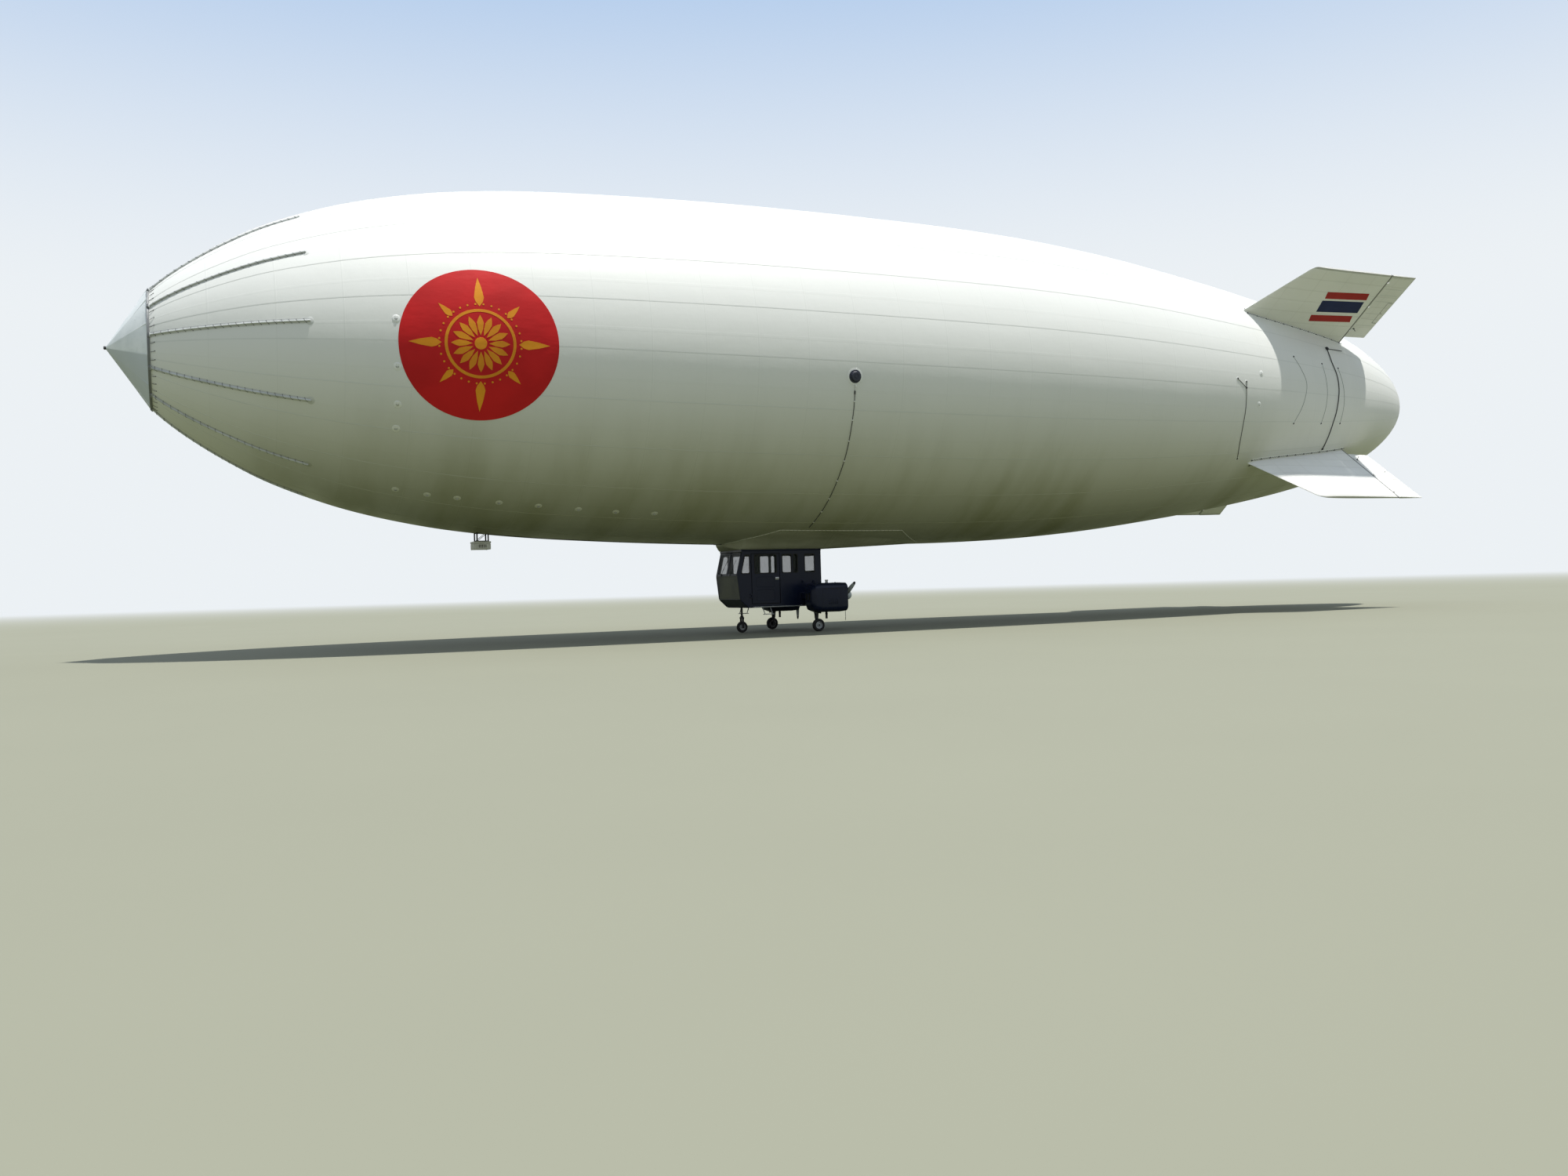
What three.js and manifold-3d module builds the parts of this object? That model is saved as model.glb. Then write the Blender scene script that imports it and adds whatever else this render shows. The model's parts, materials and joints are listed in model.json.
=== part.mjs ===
// A non-rigid airship at half its real size: a fabric hull with a nose cone and battens, four tail
// fins in an X with a control surface on each, and a small cabin that carries two pusher engines.
// Every size below is the real one in millimetres; the outermost group halves it.
// Frame: +Z up, nose towards -X, port side towards -Y, the ground at z = 0, x = 0 at half length.
import * as THREE from "three";
import { mergeVertices } from "three/addons/utils/BufferGeometryUtils.js";
import Module from "manifold-3d";

const wasm = await Module();
wasm.setup();

// Driving dimensions
const MODEL_SCALE = 1 / 2;
const LENGTH = 47350;
const AXIS_HEIGHT = 8045;
const HULL_SEGMENTS = 60;
const HULL_SKIN = 10;
const GAP = 0.6;

// Hull sections: station aft of the nose tip, radius.
const HULL_SECTIONS = [
  [1086, 1530],
  [2000, 2310],
  [3000, 2960],
  [4000, 3480],
  [6000, 4190],
  [8000, 4630],
  [10000, 4900],
  [14000, 5150],
  [18000, 5270],
  [22000, 5305],
  [26000, 5260],
  [30000, 5030],
  [35000, 4450],
  [40000, 3650],
  [43000, 2940],
  [45000, 2190],
  [46300, 1450],
  [LENGTH, 0],
];
const HULL_START = HULL_SECTIONS[0][0];
const HULL_STATIONS = [
  HULL_START, 1600, 2200, 2900, 3700, 4700, 5800, 7100, 8600, 10500, 13000, 16000, 19000, 22000,
  25000, 28000, 31000, 34000, 36500, 38800, 40900, 42700, 44100, 45200, 46100, 46750, 47150,
];

const NOSE = { tip: 60, cone: 1030, radius: 1520, wall: 20, facets: 12, spindle: 45, phase: 11.25 };
const NOSE_RING = { front: NOSE.cone + GAP, back: HULL_START - GAP, inner: 1440, outer: 1530 };
const BATTEN = { count: 12, first: 3.75, end: 4650, radius: 28, steps: 6 };

const FIN = {
  angle: 39,
  tip: 6420,
  frontRoot: 35900,
  frontRootRadius: 4300,
  frontTip: 37700,
  back: 41600,
  inside: 2500,
  shoulder: 180,
  rootThickness: 220,
  tipThickness: 140,
  skin: 10,
};
// Half section of a fin: share of the chord, share of the greatest half thickness.
const FIN_SECTION = [
  [0, 0.12],
  [0.04, 0.5],
  [0.14, 0.82],
  [0.35, 1],
  [0.7, 0.8],
  [1, 0.52],
];
const HINGE = {
  station: 41665,
  lugRadius: 18,
  lugHalf: 15,
  pin: 12,
  pinHalf: 54,
  places: [3900, 5000, 6100],
};
const RUDDER = { inner: 3580, chordInner: 1035, chordTip: 1175 };
// Half section of a control surface: distance behind the hinge line, half thickness.
const RUDDER_SECTION = [
  [-35, 8],
  [-24, 26],
  [0, 35],
  [0.5, 22],
  [1, 5],
];

const VALVE = { station: 19030, angle: -7.7, flange: 190, height: 95 };
const BELLY_BOX = { front: 9200, back: 9690, halfWidth: 260, bottom: 2745, top: 2975 };
const BELLY_BRACKET = { front: 9290, back: 9650, halfWidth: 190 };
// Keel fairing sections: station, half width at the hull, half width below, height of the flat bottom.
const FAIRING_SECTIONS = [
  [16900, 420, 260, 2735],
  [17230, 1150, 860, 2601.2],
  [18100, 1960, 900, 2601.2],
  [20100, 1960, 900, 2601.2],
  [22400, 1960, 760, 2690],
  [23700, 700, 300, 2738],
];
const FAIRING_DEPTH = 400;

const CABIN = {
  half: 850,
  wall: 45,
  bottom: 800,
  floor: 880,
  sill: 1800,
  top: 2540,
  roof: 2600,
  back: 20020,
};
const CABIN_INSIDE = CABIN.half - CABIN.wall - GAP;
const WINDSHIELD = { bottom: 17120, top: 17300, thickness: 24 };
const GLASS = { thickness: 16, bottom: 1860, top: 2440, overlap: 22 };
const NOSE_PANEL = { chin: [17200, 1060], heel: [17480, CABIN.bottom] };
const QUARTER_WINDOW = { back: 17540, frontBottom: 17250, frontTop: 17385 };
// Windows aft of the door: front edge, back edge.
const AFT_WINDOWS = [
  [18660, 18990],
  [19050, 19200],
  [19450, 19800],
];
const REAR_WINDOW = { half: 520, bottom: 1900, top: 2400 };
const DOOR = {
  front: 17610,
  back: 18560,
  bottom: 920,
  top: 2460,
  clearance: 20,
  windowFront: 17710,
  windowBack: 18460,
};
const DOOR_HINGE = {
  x: 17595,
  y: 878,
  pin: 10,
  barrel: 20,
  half: 30,
  lug: 30,
  reach: 65,
  heights: [1160, 2210],
};
const DASH = {
  front: 17270,
  back: 17560,
  half: 600,
  bottom: 1330,
  top: 1700,
  pedestal: 17490,
  pedestalHalf: 160,
  pedestalTop: 1380,
};
const FLOOR_SOCKET = { x: 17600, radius: 35 };

// Seats: name, front edge, y of the middle, width.
const SEATS = [
  ["seat_pilot", 17900, -400, 460],
  ["seat_copilot", 17900, 400, 460],
  ["seat_bench", 18950, 0, 1300],
];

const ENGINE_LINE = { y: 1700, z: 1105 };
// Nacelle sections: station, half width, bottom, top.
const NACELLE_SECTIONS = [
  [19120, 250, 800, 1360],
  [19220, 350, 670, 1460],
  [19420, 400, 600, 1505],
  [20100, 400, 600, 1505],
  [20320, 385, 620, 1495],
];
const NACELLE = { wall: 20, corner: 0.45, hole: 170 };
const ENGINE = { front: 19200, back: 19860, half: 190, top: 1320, shaft: 60, shaftEnd: 20439 };
const EXHAUST = { x: 19740, radius: 35, bottom: 390 };
const OUTRIGGER = { front: 19300, back: 19800, bottom: 1030, top: 1190 };
const PROPELLER = { front: 20345, blade: 20412, radius: 800, hub: 150, tip: 20630, blades: 3 };
// Blade sections: radius, chord, thickness, angle from the disc in degrees.
const BLADE_SECTIONS = [
  [90, 110, 40, 42],
  [330, 140, 26, 30],
  [620, 120, 18, 21],
  [800, 60, 12, 17],
];

const WHEEL_SEGMENTS = 20;
const MAIN_WHEEL = { x: 19450, radius: 200, width: 130, rim: 110, rimWidth: 100, axle: 22 };
const MAIN_LEG = { inner: 1560, outer: 1600, half: 25, plate: 80 };
const NOSE_WHEEL = { x: FLOOR_SOCKET.x, radius: 180, width: 110, rim: 95, rimWidth: 86, axle: 20 };
const NOSE_FORK = { inner: 72, outer: 96, half: 30, crown: 440, crownTop: 490 };

const finish = (color, roughness, metalness = 0, extra = {}) =>
  new THREE.MeshStandardMaterial({ color, roughness, metalness, ...extra });
const MATERIALS = {
  fabric: finish(0xf1f2ee, 0.55),
  finFabric: finish(0xe6e7e3, 0.55),
  silver: finish(0xa9adb0, 0.4, 0.6),
  batten: finish(0x9fa3a6, 0.45, 0.7),
  navy: finish(0x0d1730, 0.4, 0.2),
  darkMetal: finish(0x22252a, 0.5, 0.6),
  white: finish(0xeeeeea, 0.4),
  glass: finish(0x9fb2b4, 0.1, 0, { transparent: true, opacity: 0.35 }),
  seat: finish(0x23262b, 0.7),
  rubber: finish(0x17181a, 0.85),
  steel: finish(0x8c9196, 0.35, 0.9),
  panel: finish(0x1b1d20, 0.7),
};

const airship = new THREE.Group();
airship.scale.setScalar(MODEL_SCALE);
const stations = new THREE.Group();
stations.position.x = -LENGTH / 2;
airship.add(stations);
const hullFrame = new THREE.Group();
hullFrame.position.z = AXIS_HEIGHT;
stations.add(hullFrame);

// A pair of groups, the starboard one mirrored, under the same parent.
function sides(parent) {
  return [
    ["port", 1],
    ["starboard", -1],
  ].map(([side, mirror]) => {
    const group = new THREE.Group();
    group.scale.y = mirror;
    parent.add(group);
    return [side, group];
  });
}
const hullSides = sides(hullFrame);
const groundSides = sides(stations);

function place(parent, name, geometry, material) {
  const mesh = new THREE.Mesh(geometry, material);
  mesh.name = name;
  parent.add(mesh);
  return mesh;
}

// Solids for cutting and joining
function solid(geometry) {
  const bare = geometry.clone();
  bare.deleteAttribute("normal");
  bare.deleteAttribute("uv");
  const merged = mergeVertices(bare, 1e-2);
  return new wasm.Manifold(
    new wasm.Mesh({
      numProp: 3,
      vertProperties: merged.attributes.position.array,
      triVerts: new Uint32Array(merged.index.array),
    }),
  );
}

function geometryOf(body) {
  const { vertProperties, triVerts } = body.getMesh();
  const geometry = new THREE.BufferGeometry();
  geometry.setAttribute("position", new THREE.BufferAttribute(vertProperties, 3));
  geometry.setIndex(new THREE.BufferAttribute(triVerts, 1));
  const flat = geometry.toNonIndexed();
  flat.computeVertexNormals();
  return flat;
}

const joined = (...geometries) => geometries.map(solid).reduce((a, b) => a.add(b));

// A closed body through rings with equal counts of points, with a flat fan over each end.
function loft(rings) {
  const count = rings[0].length;
  const index = [];
  for (let ring = 0; ring + 1 < rings.length; ring++)
    for (let i = 0; i < count; i++) {
      const a = ring * count + i;
      const b = ring * count + ((i + 1) % count);
      index.push(a, b, b + count, a, b + count, a + count);
    }
  const last = (rings.length - 1) * count;
  for (let i = 1; i + 1 < count; i++) {
    index.push(0, i + 1, i);
    index.push(last, last + i, last + i + 1);
  }
  const geometry = new THREE.BufferGeometry();
  geometry.setAttribute("position", new THREE.Float32BufferAttribute(rings.flat(2), 3));
  geometry.setIndex(index);
  return facingOut(geometry.toNonIndexed());
}

// Turns every face over if the body encloses a negative volume.
function facingOut(geometry) {
  const p = geometry.attributes.position;
  const [a, b, c] = [new THREE.Vector3(), new THREE.Vector3(), new THREE.Vector3()];
  let volume = 0;
  for (let i = 0; i < p.count; i += 3) {
    a.fromBufferAttribute(p, i);
    b.fromBufferAttribute(p, i + 1);
    c.fromBufferAttribute(p, i + 2);
    volume += a.dot(b.cross(c));
  }
  if (volume < 0)
    for (let i = 0; i < p.count; i += 3) {
      b.fromBufferAttribute(p, i + 1);
      c.fromBufferAttribute(p, i + 2);
      p.setXYZ(i + 1, c.x, c.y, c.z);
      p.setXYZ(i + 2, b.x, b.y, b.z);
    }
  geometry.computeVertexNormals();
  return geometry;
}

// A body turned about the X axis, from a profile of [x, radius]; the first angle is from +Z.
function turnedAlongX(profile, segments, phase = 0) {
  const points = profile.map(([x, radius]) => new THREE.Vector2(radius, x));
  const geometry = new THREE.LatheGeometry(points, segments, THREE.MathUtils.degToRad(phase));
  return facingOut(geometry.rotateZ(-Math.PI / 2).toNonIndexed());
}

// A body turned about the Y axis, from a profile of [y, radius].
function turnedAlongY(profile, segments) {
  const points = profile.map(([y, radius]) => new THREE.Vector2(radius, y));
  return facingOut(new THREE.LatheGeometry(points, segments).toNonIndexed());
}

const cylinderX = (radius, x0, x1, sides = 16) =>
  turnedAlongX([[x0, 0], [x0, radius], [x1, radius], [x1, 0]], sides);
const cylinderY = (radius, y0, y1, sides = 16) =>
  turnedAlongY([[y0, 0], [y0, radius], [y1, radius], [y1, 0]], sides);
const cylinderZ = (radius, z0, z1, sides = 16) =>
  cylinderY(radius, z0, z1, sides).rotateX(Math.PI / 2);

// Radius of a faceted bore whose flats clear a pin of the given radius at any turn.
const boreRadius = (pin, sides = 16) => (pin + GAP) / Math.cos(Math.PI / sides);

function box(x0, x1, y0, y1, z0, z1) {
  return new THREE.BoxGeometry(x1 - x0, y1 - y0, z1 - z0)
    .translate((x0 + x1) / 2, (y0 + y1) / 2, (z0 + z1) / 2)
    .toNonIndexed();
}

// A plate standing in the XZ plane between y0 and y1, from an outline of [x, z].
function plate(outline, y0, y1) {
  const shape = new THREE.Shape(outline.map(([x, z]) => new THREE.Vector2(x, z)));
  const geometry = new THREE.ExtrudeGeometry(shape, { depth: y1 - y0, bevelEnabled: false });
  return geometry.rotateX(Math.PI / 2).translate(0, y1, 0);
}

// The same plate with a hole for each further outline.
const pierced = (outline, holes, y0, y1) =>
  holes.reduce(
    (body, hole) => body.subtract(solid(plate(hole, y0 - 10, y1 + 10))),
    solid(plate(outline, y0, y1)),
  );

const rectangle = (x0, x1, z0, z1) => [[x0, z0], [x1, z0], [x1, z1], [x0, z1]];

// Hull radius at a station: a smooth curve through the squared radii of the sections.
function hullRadius(x) {
  const last = HULL_SECTIONS.length - 1;
  let i = HULL_SECTIONS.findIndex(([station]) => station >= x);
  i = i < 0 ? last : Math.max(i, 1);
  const area = (k) => HULL_SECTIONS[k][1] ** 2;
  const at = (k) => HULL_SECTIONS[k][0];
  const slope = (k) => {
    const before = Math.max(k - 1, 0);
    const after = Math.min(k + 1, last);
    return (area(after) - area(before)) / (at(after) - at(before));
  };
  const width = at(i) - at(i - 1);
  const t = (x - at(i - 1)) / width;
  const squared =
    (1 + 2 * t) * (1 - t) ** 2 * area(i - 1) +
    t * (1 - t) ** 2 * width * slope(i - 1) +
    t * t * (3 - 2 * t) * area(i) +
    t * t * (t - 1) * width * slope(i);
  return Math.sqrt(Math.max(squared, 0));
}

// Point on the hull at a station and an angle above the port side's middle line.
function onHull(x, degrees, offset = 0) {
  const angle = THREE.MathUtils.degToRad(degrees);
  const radius = hullRadius(x) * Math.cos(Math.PI / HULL_SEGMENTS) + offset;
  return new THREE.Vector3(x, -radius * Math.cos(angle), radius * Math.sin(angle));
}

// Envelope: a thin shell, open at the nose ring where the cone closes it.
const outerProfile = HULL_STATIONS.map((x) => [x, hullRadius(x)]);
const innerProfile = outerProfile.map(([x, radius]) => [x, radius - HULL_SKIN]).reverse();
innerProfile.shift();
place(
  hullFrame,
  "envelope",
  turnedAlongX(
    [[LENGTH, 0], ...outerProfile.toReversed(), ...innerProfile.toReversed(), [LENGTH - 3 * HULL_SKIN, 0]],
    HULL_SEGMENTS,
  ),
  MATERIALS.fabric,
);

// The space that the hull fills, grown by the gap, for seating what lies on it.
const hullSpace = solid(
  turnedAlongX(
    [
      [NOSE_RING.back, 0],
      [NOSE_RING.back, outerProfile[0][1] + GAP],
      ...outerProfile.map(([x, radius]) => [x + GAP / 2, radius + GAP]),
      [LENGTH + GAP, 0],
    ],
    HULL_SEGMENTS,
  ),
);
const seatedOnHull = (body) => geometryOf(body.subtract(hullSpace));

// Nose cone: folded sheet with flat facets, ending in the spindle that a mast grips.
const coneSheet = turnedAlongX(
  [
    [NOSE.tip, 0],
    [NOSE.cone, NOSE.radius],
    [NOSE.cone, NOSE.radius - 2 * NOSE.wall],
    [NOSE.tip + 1.4 * NOSE.wall, 0],
  ],
  NOSE.facets,
  NOSE.phase,
);
place(
  hullFrame,
  "nose_cone",
  geometryOf(joined(coneSheet, cylinderX(NOSE.spindle, 0, 220, 16))),
  MATERIALS.silver,
);

// Nose battens: tubes laced to the fabric, all carried by one ring behind the cone.
const battenSection = new THREE.Shape().absarc(0, 0, BATTEN.radius, 0, 2 * Math.PI);
function batten(degrees) {
  const points = Array.from({ length: 9 }, (_, i) => {
    const x = THREE.MathUtils.lerp(NOSE_RING.front + 20, BATTEN.end, i / 8);
    return onHull(Math.max(x, HULL_START), degrees, BATTEN.radius * 0.85).setX(x);
  });
  return new THREE.ExtrudeGeometry(battenSection, {
    steps: BATTEN.steps,
    curveSegments: 3,
    extrudePath: new THREE.CatmullRomCurve3(points),
  });
}
const noseRing = turnedAlongX(
  [
    [NOSE_RING.front, NOSE_RING.inner],
    [NOSE_RING.front, NOSE_RING.outer + BATTEN.radius],
    [NOSE_RING.back, NOSE_RING.outer + BATTEN.radius],
    [NOSE_RING.back, NOSE_RING.inner],
    [NOSE_RING.front, NOSE_RING.inner],
  ],
  HULL_SEGMENTS / 2,
);
const battens = Array.from({ length: BATTEN.count }, (_, i) =>
  batten(BATTEN.first + (i * 360) / BATTEN.count),
);
place(hullFrame, "nose_battens", seatedOnHull(joined(noseRing, ...battens)), MATERIALS.batten);

// Ring of points around a symmetric section given as [x, half thickness], at one radius.
const sectionRing = (half, radius) => [
  ...half.map(([x, y]) => [x, y, radius]),
  ...half.toReversed().map(([x, y]) => [x, -y, radius]),
];

// Fin section at a radius: inset is the skin that it lies inside, trim the cut-back of a rounded tip.
function finRing(radius, inset, trim = 0) {
  const slope = (FIN.frontTip - FIN.frontRoot) / (FIN.tip - FIN.frontRootRadius);
  const front = FIN.frontTip + (radius - FIN.tip) * slope + 3 * inset + trim;
  const share = (radius - FIN.inside) / (FIN.tip - FIN.inside);
  const thickness = THREE.MathUtils.lerp(FIN.rootThickness, FIN.tipThickness, share) * (trim ? 0.6 : 1);
  const back = FIN.back - inset;
  return sectionRing(
    FIN_SECTION.map(([chord, half]) => [
      THREE.MathUtils.lerp(front, back, chord),
      Math.max((half * thickness) / 2 - inset, 2),
    ]),
    radius,
  );
}

// Turns what was built upright on the hull's axis to a fin's angle on the port side.
const toFinAngle = (geometry, degrees) =>
  geometry.rotateX(THREE.MathUtils.degToRad(90 - degrees));

// Hinge of a control surface: lugs on the fin, each with a pin that reaches into the surface.
function hingeLug(radius) {
  const [low, high] = [radius - HINGE.lugHalf, radius + HINGE.lugHalf];
  const lug = box(FIN.back - FIN.skin / 2, HINGE.station, -10, 10, low, high);
  const end = cylinderZ(HINGE.lugRadius, low, high, 8);
  const pin = cylinderZ(HINGE.pin, radius - HINGE.pinHalf, radius + HINGE.pinHalf, 8);
  return joined(lug, end.translate(HINGE.station, 0, 0), pin.translate(HINGE.station, 0, 0));
}

function finBody() {
  const shell = loft([
    finRing(FIN.tip - FIN.skin, FIN.skin, FIN.shoulder),
    finRing(FIN.inside, FIN.skin),
    finRing(FIN.inside, 0),
    finRing(FIN.tip - FIN.shoulder, 0),
    finRing(FIN.tip, 0, FIN.shoulder),
  ]);
  return HINGE.places.reduce((body, radius) => body.add(hingeLug(radius)), solid(shell));
}

// Control surface: a wedge with a rounded front edge, notched round each lug.
function rudderBody() {
  const ring = (radius, chord) =>
    sectionRing(
      RUDDER_SECTION.map(([x, half]) => [HINGE.station + (x > 0 ? x * chord : x), half]),
      radius,
    );
  const wedge = loft([ring(RUDDER.inner, RUDDER.chordInner), ring(FIN.tip, RUDDER.chordTip)]);
  const notchHalf = HINGE.lugHalf + 12;
  return HINGE.places.reduce((body, radius) => {
    const notch = box(FIN.back, HINGE.station + 35, -60, 60, radius - notchHalf, radius + notchHalf);
    const reach = HINGE.pinHalf + 1;
    const bore = cylinderZ(boreRadius(HINGE.pin, 8), radius - reach, radius + reach, 8);
    return body.subtract(solid(notch)).subtract(solid(bore.translate(HINGE.station, 0, 0)));
  }, solid(wedge));
}

const finShape = geometryOf(finBody());
const rudderShape = geometryOf(rudderBody());
for (const [side, group] of hullSides)
  for (const [level, degrees] of [["upper", FIN.angle], ["lower", -FIN.angle]]) {
    const fin = toFinAngle(finShape.clone(), degrees);
    place(group, `fin_${level}_${side}`, seatedOnHull(solid(fin)), MATERIALS.finFabric);
    place(group, `rudder_${level}_${side}`, toFinAngle(rudderShape.clone(), degrees), MATERIALS.finFabric);
  }

// Gas valves: a flanged cap on each side of the hull.
const valveCap = turnedAlongY(
  [
    [-70, 0],
    [-70, VALVE.flange],
    [35, VALVE.flange],
    [45, 0.75 * VALVE.flange],
    [VALVE.height, 0.6 * VALVE.flange],
    [VALVE.height, 0],
  ],
  16,
);
const valveSeat = onHull(VALVE.station, VALVE.angle);
valveCap.rotateX(Math.PI - THREE.MathUtils.degToRad(VALVE.angle));
valveCap.translate(valveSeat.x, valveSeat.y, valveSeat.z);
for (const [side, group] of hullSides)
  place(group, `gas_valve_${side}`, seatedOnHull(solid(valveCap)), MATERIALS.navy);

// Belly equipment: a bracket under the hull and a white box below it.
const belly = BELLY_BOX.top + GAP - AXIS_HEIGHT;
const bracket = box(
  BELLY_BRACKET.front,
  BELLY_BRACKET.back,
  -BELLY_BRACKET.halfWidth,
  BELLY_BRACKET.halfWidth,
  belly,
  -hullRadius(BELLY_BRACKET.front) + 200,
);
place(hullFrame, "belly_bracket", seatedOnHull(solid(bracket)), MATERIALS.darkMetal);
place(
  stations,
  "belly_box",
  box(
    BELLY_BOX.front,
    BELLY_BOX.back,
    -BELLY_BOX.halfWidth,
    BELLY_BOX.halfWidth,
    BELLY_BOX.bottom,
    BELLY_BOX.top,
  ),
  MATERIALS.white,
);

// Keel fairing: the flat-bottomed fabric skirt between the hull and the cabin roof, in two like halves.
const fairingHalf = loft(
  FAIRING_SECTIONS.map(([x, top, bottom, height]) => {
    const low = height - AXIS_HEIGHT;
    const edge = -Math.sqrt(hullRadius(x) ** 2 - top ** 2);
    const inside = edge + FAIRING_DEPTH;
    return [[0, low], [-bottom, low], [-top, edge], [-top, inside], [0, inside]].map(([y, z]) => [x, y, z]);
  }),
);
const fairing = joined(fairingHalf, facingOut(fairingHalf.clone().scale(1, -1, 1)));
place(hullFrame, "keel_fairing", seatedOnHull(fairing), MATERIALS.fabric);

// Cabin roof and floor
place(
  stations,
  "cabin_roof",
  box(WINDSHIELD.top - 30, CABIN.back + 20, -CABIN.half, CABIN.half, CABIN.top + GAP, CABIN.roof),
  MATERIALS.navy,
);
const floorSlab = box(
  NOSE_PANEL.heel[0] + GAP,
  CABIN.back,
  -CABIN_INSIDE,
  CABIN_INSIDE,
  CABIN.bottom,
  CABIN.floor,
);
const socket = cylinderZ(boreRadius(FLOOR_SOCKET.radius), CABIN.bottom - 10, CABIN.floor + 10);
place(
  stations,
  "cabin_floor",
  geometryOf(solid(floorSlab).subtract(solid(socket.translate(FLOOR_SOCKET.x, 0, 0)))),
  MATERIALS.navy,
);

// Cabin nose: the curved panel under the windshield, and the windshield between the side panels.
const [chinX, chinZ] = NOSE_PANEL.chin;
const [heelX, heelZ] = NOSE_PANEL.heel;
place(
  stations,
  "cabin_nose",
  plate(
    [
      [WINDSHIELD.bottom, CABIN.sill],
      [chinX, chinZ],
      [heelX, heelZ],
      [heelX, heelZ + 1.4 * CABIN.wall],
      [chinX + CABIN.wall, chinZ + 20],
      [WINDSHIELD.bottom + CABIN.wall, CABIN.sill],
    ],
    -CABIN_INSIDE,
    CABIN_INSIDE,
  ),
  MATERIALS.navy,
);
place(
  stations,
  "windshield",
  plate(
    [
      [WINDSHIELD.bottom + 4, CABIN.sill + GAP],
      [WINDSHIELD.bottom + 4 + WINDSHIELD.thickness, CABIN.sill + GAP],
      [WINDSHIELD.top + WINDSHIELD.thickness, CABIN.top],
      [WINDSHIELD.top, CABIN.top],
    ],
    -CABIN_INSIDE,
    CABIN_INSIDE,
  ),
  MATERIALS.glass,
);

// Rear bulkhead with its window
const bulkhead = box(
  CABIN.back - CABIN.wall,
  CABIN.back,
  -CABIN_INSIDE,
  CABIN_INSIDE,
  CABIN.floor + GAP,
  CABIN.top,
);
const rearHole = box(
  CABIN.back - 2 * CABIN.wall,
  CABIN.back + CABIN.wall,
  -REAR_WINDOW.half,
  REAR_WINDOW.half,
  REAR_WINDOW.bottom,
  REAR_WINDOW.top,
);
place(stations, "cabin_rear", geometryOf(solid(bulkhead).subtract(solid(rearHole))), MATERIALS.navy);
const rearGlassFace = CABIN.back - CABIN.wall - GAP;
place(
  stations,
  "glass_rear",
  box(
    rearGlassFace - GLASS.thickness,
    rearGlassFace,
    -REAR_WINDOW.half - GLASS.overlap,
    REAR_WINDOW.half + GLASS.overlap,
    REAR_WINDOW.bottom - GLASS.overlap,
    REAR_WINDOW.top + GLASS.overlap,
  ),
  MATERIALS.glass,
);

// Side panels, doors and side glass. All are drawn for port and mirrored.
const skin = -CABIN.half;
const lining = skin + CABIN.wall;
const glassFace = lining + GAP;
const sideOutline = [
  [WINDSHIELD.bottom, CABIN.sill],
  [chinX, chinZ],
  [heelX, heelZ],
  [CABIN.back, CABIN.bottom],
  [CABIN.back, CABIN.top],
  [WINDSHIELD.top, CABIN.top],
];
const quarterHole = [
  [QUARTER_WINDOW.frontBottom, GLASS.bottom],
  [QUARTER_WINDOW.back, GLASS.bottom],
  [QUARTER_WINDOW.back, GLASS.top],
  [QUARTER_WINDOW.frontTop, GLASS.top],
];
const doorHole = rectangle(
  DOOR.front - DOOR.clearance,
  DOOR.back + DOOR.clearance,
  DOOR.bottom - DOOR.clearance,
  DOOR.top + DOOR.clearance,
);
const aftHoles = AFT_WINDOWS.map(([front, back]) => rectangle(front, back, GLASS.bottom, GLASS.top));

// One leaf of a door hinge: a barrel on the pin's line and an arm to the panel at x = to.
function hingeLeaf(to, low, high) {
  const { x, y, barrel } = DOOR_HINGE;
  const arm = box(Math.min(x, to), Math.max(x, to), -y - 15, skin + 1, low, high);
  return joined(cylinderZ(barrel, low, high, 10).translate(x, -y, 0), arm);
}

function sidePanel() {
  const { x, y, pin, half, lug, reach, heights } = DOOR_HINGE;
  return heights.reduce(
    (body, height) =>
      body
        .add(hingeLeaf(x - reach, height - half - lug, height - half - GAP))
        .add(hingeLeaf(x - reach, height + half + GAP, height + half + lug))
        .add(solid(cylinderZ(pin, height - half - lug, height + half + lug, 8).translate(x, -y, 0))),
    pierced(sideOutline, [quarterHole, doorHole, ...aftHoles], skin, lining),
  );
}

function doorPanel() {
  const { x, y, pin, half, reach, heights } = DOOR_HINGE;
  const leaf = pierced(
    rectangle(DOOR.front, DOOR.back, DOOR.bottom, DOOR.top),
    [rectangle(DOOR.windowFront, DOOR.windowBack, GLASS.bottom, GLASS.top)],
    skin,
    lining,
  );
  return heights.reduce((body, height) => {
    const bore = cylinderZ(boreRadius(pin, 8), height - 2 * half, height + 2 * half, 8).translate(x, -y, 0);
    return body.add(hingeLeaf(x + reach, height - half, height + half)).subtract(solid(bore));
  }, leaf);
}

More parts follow.
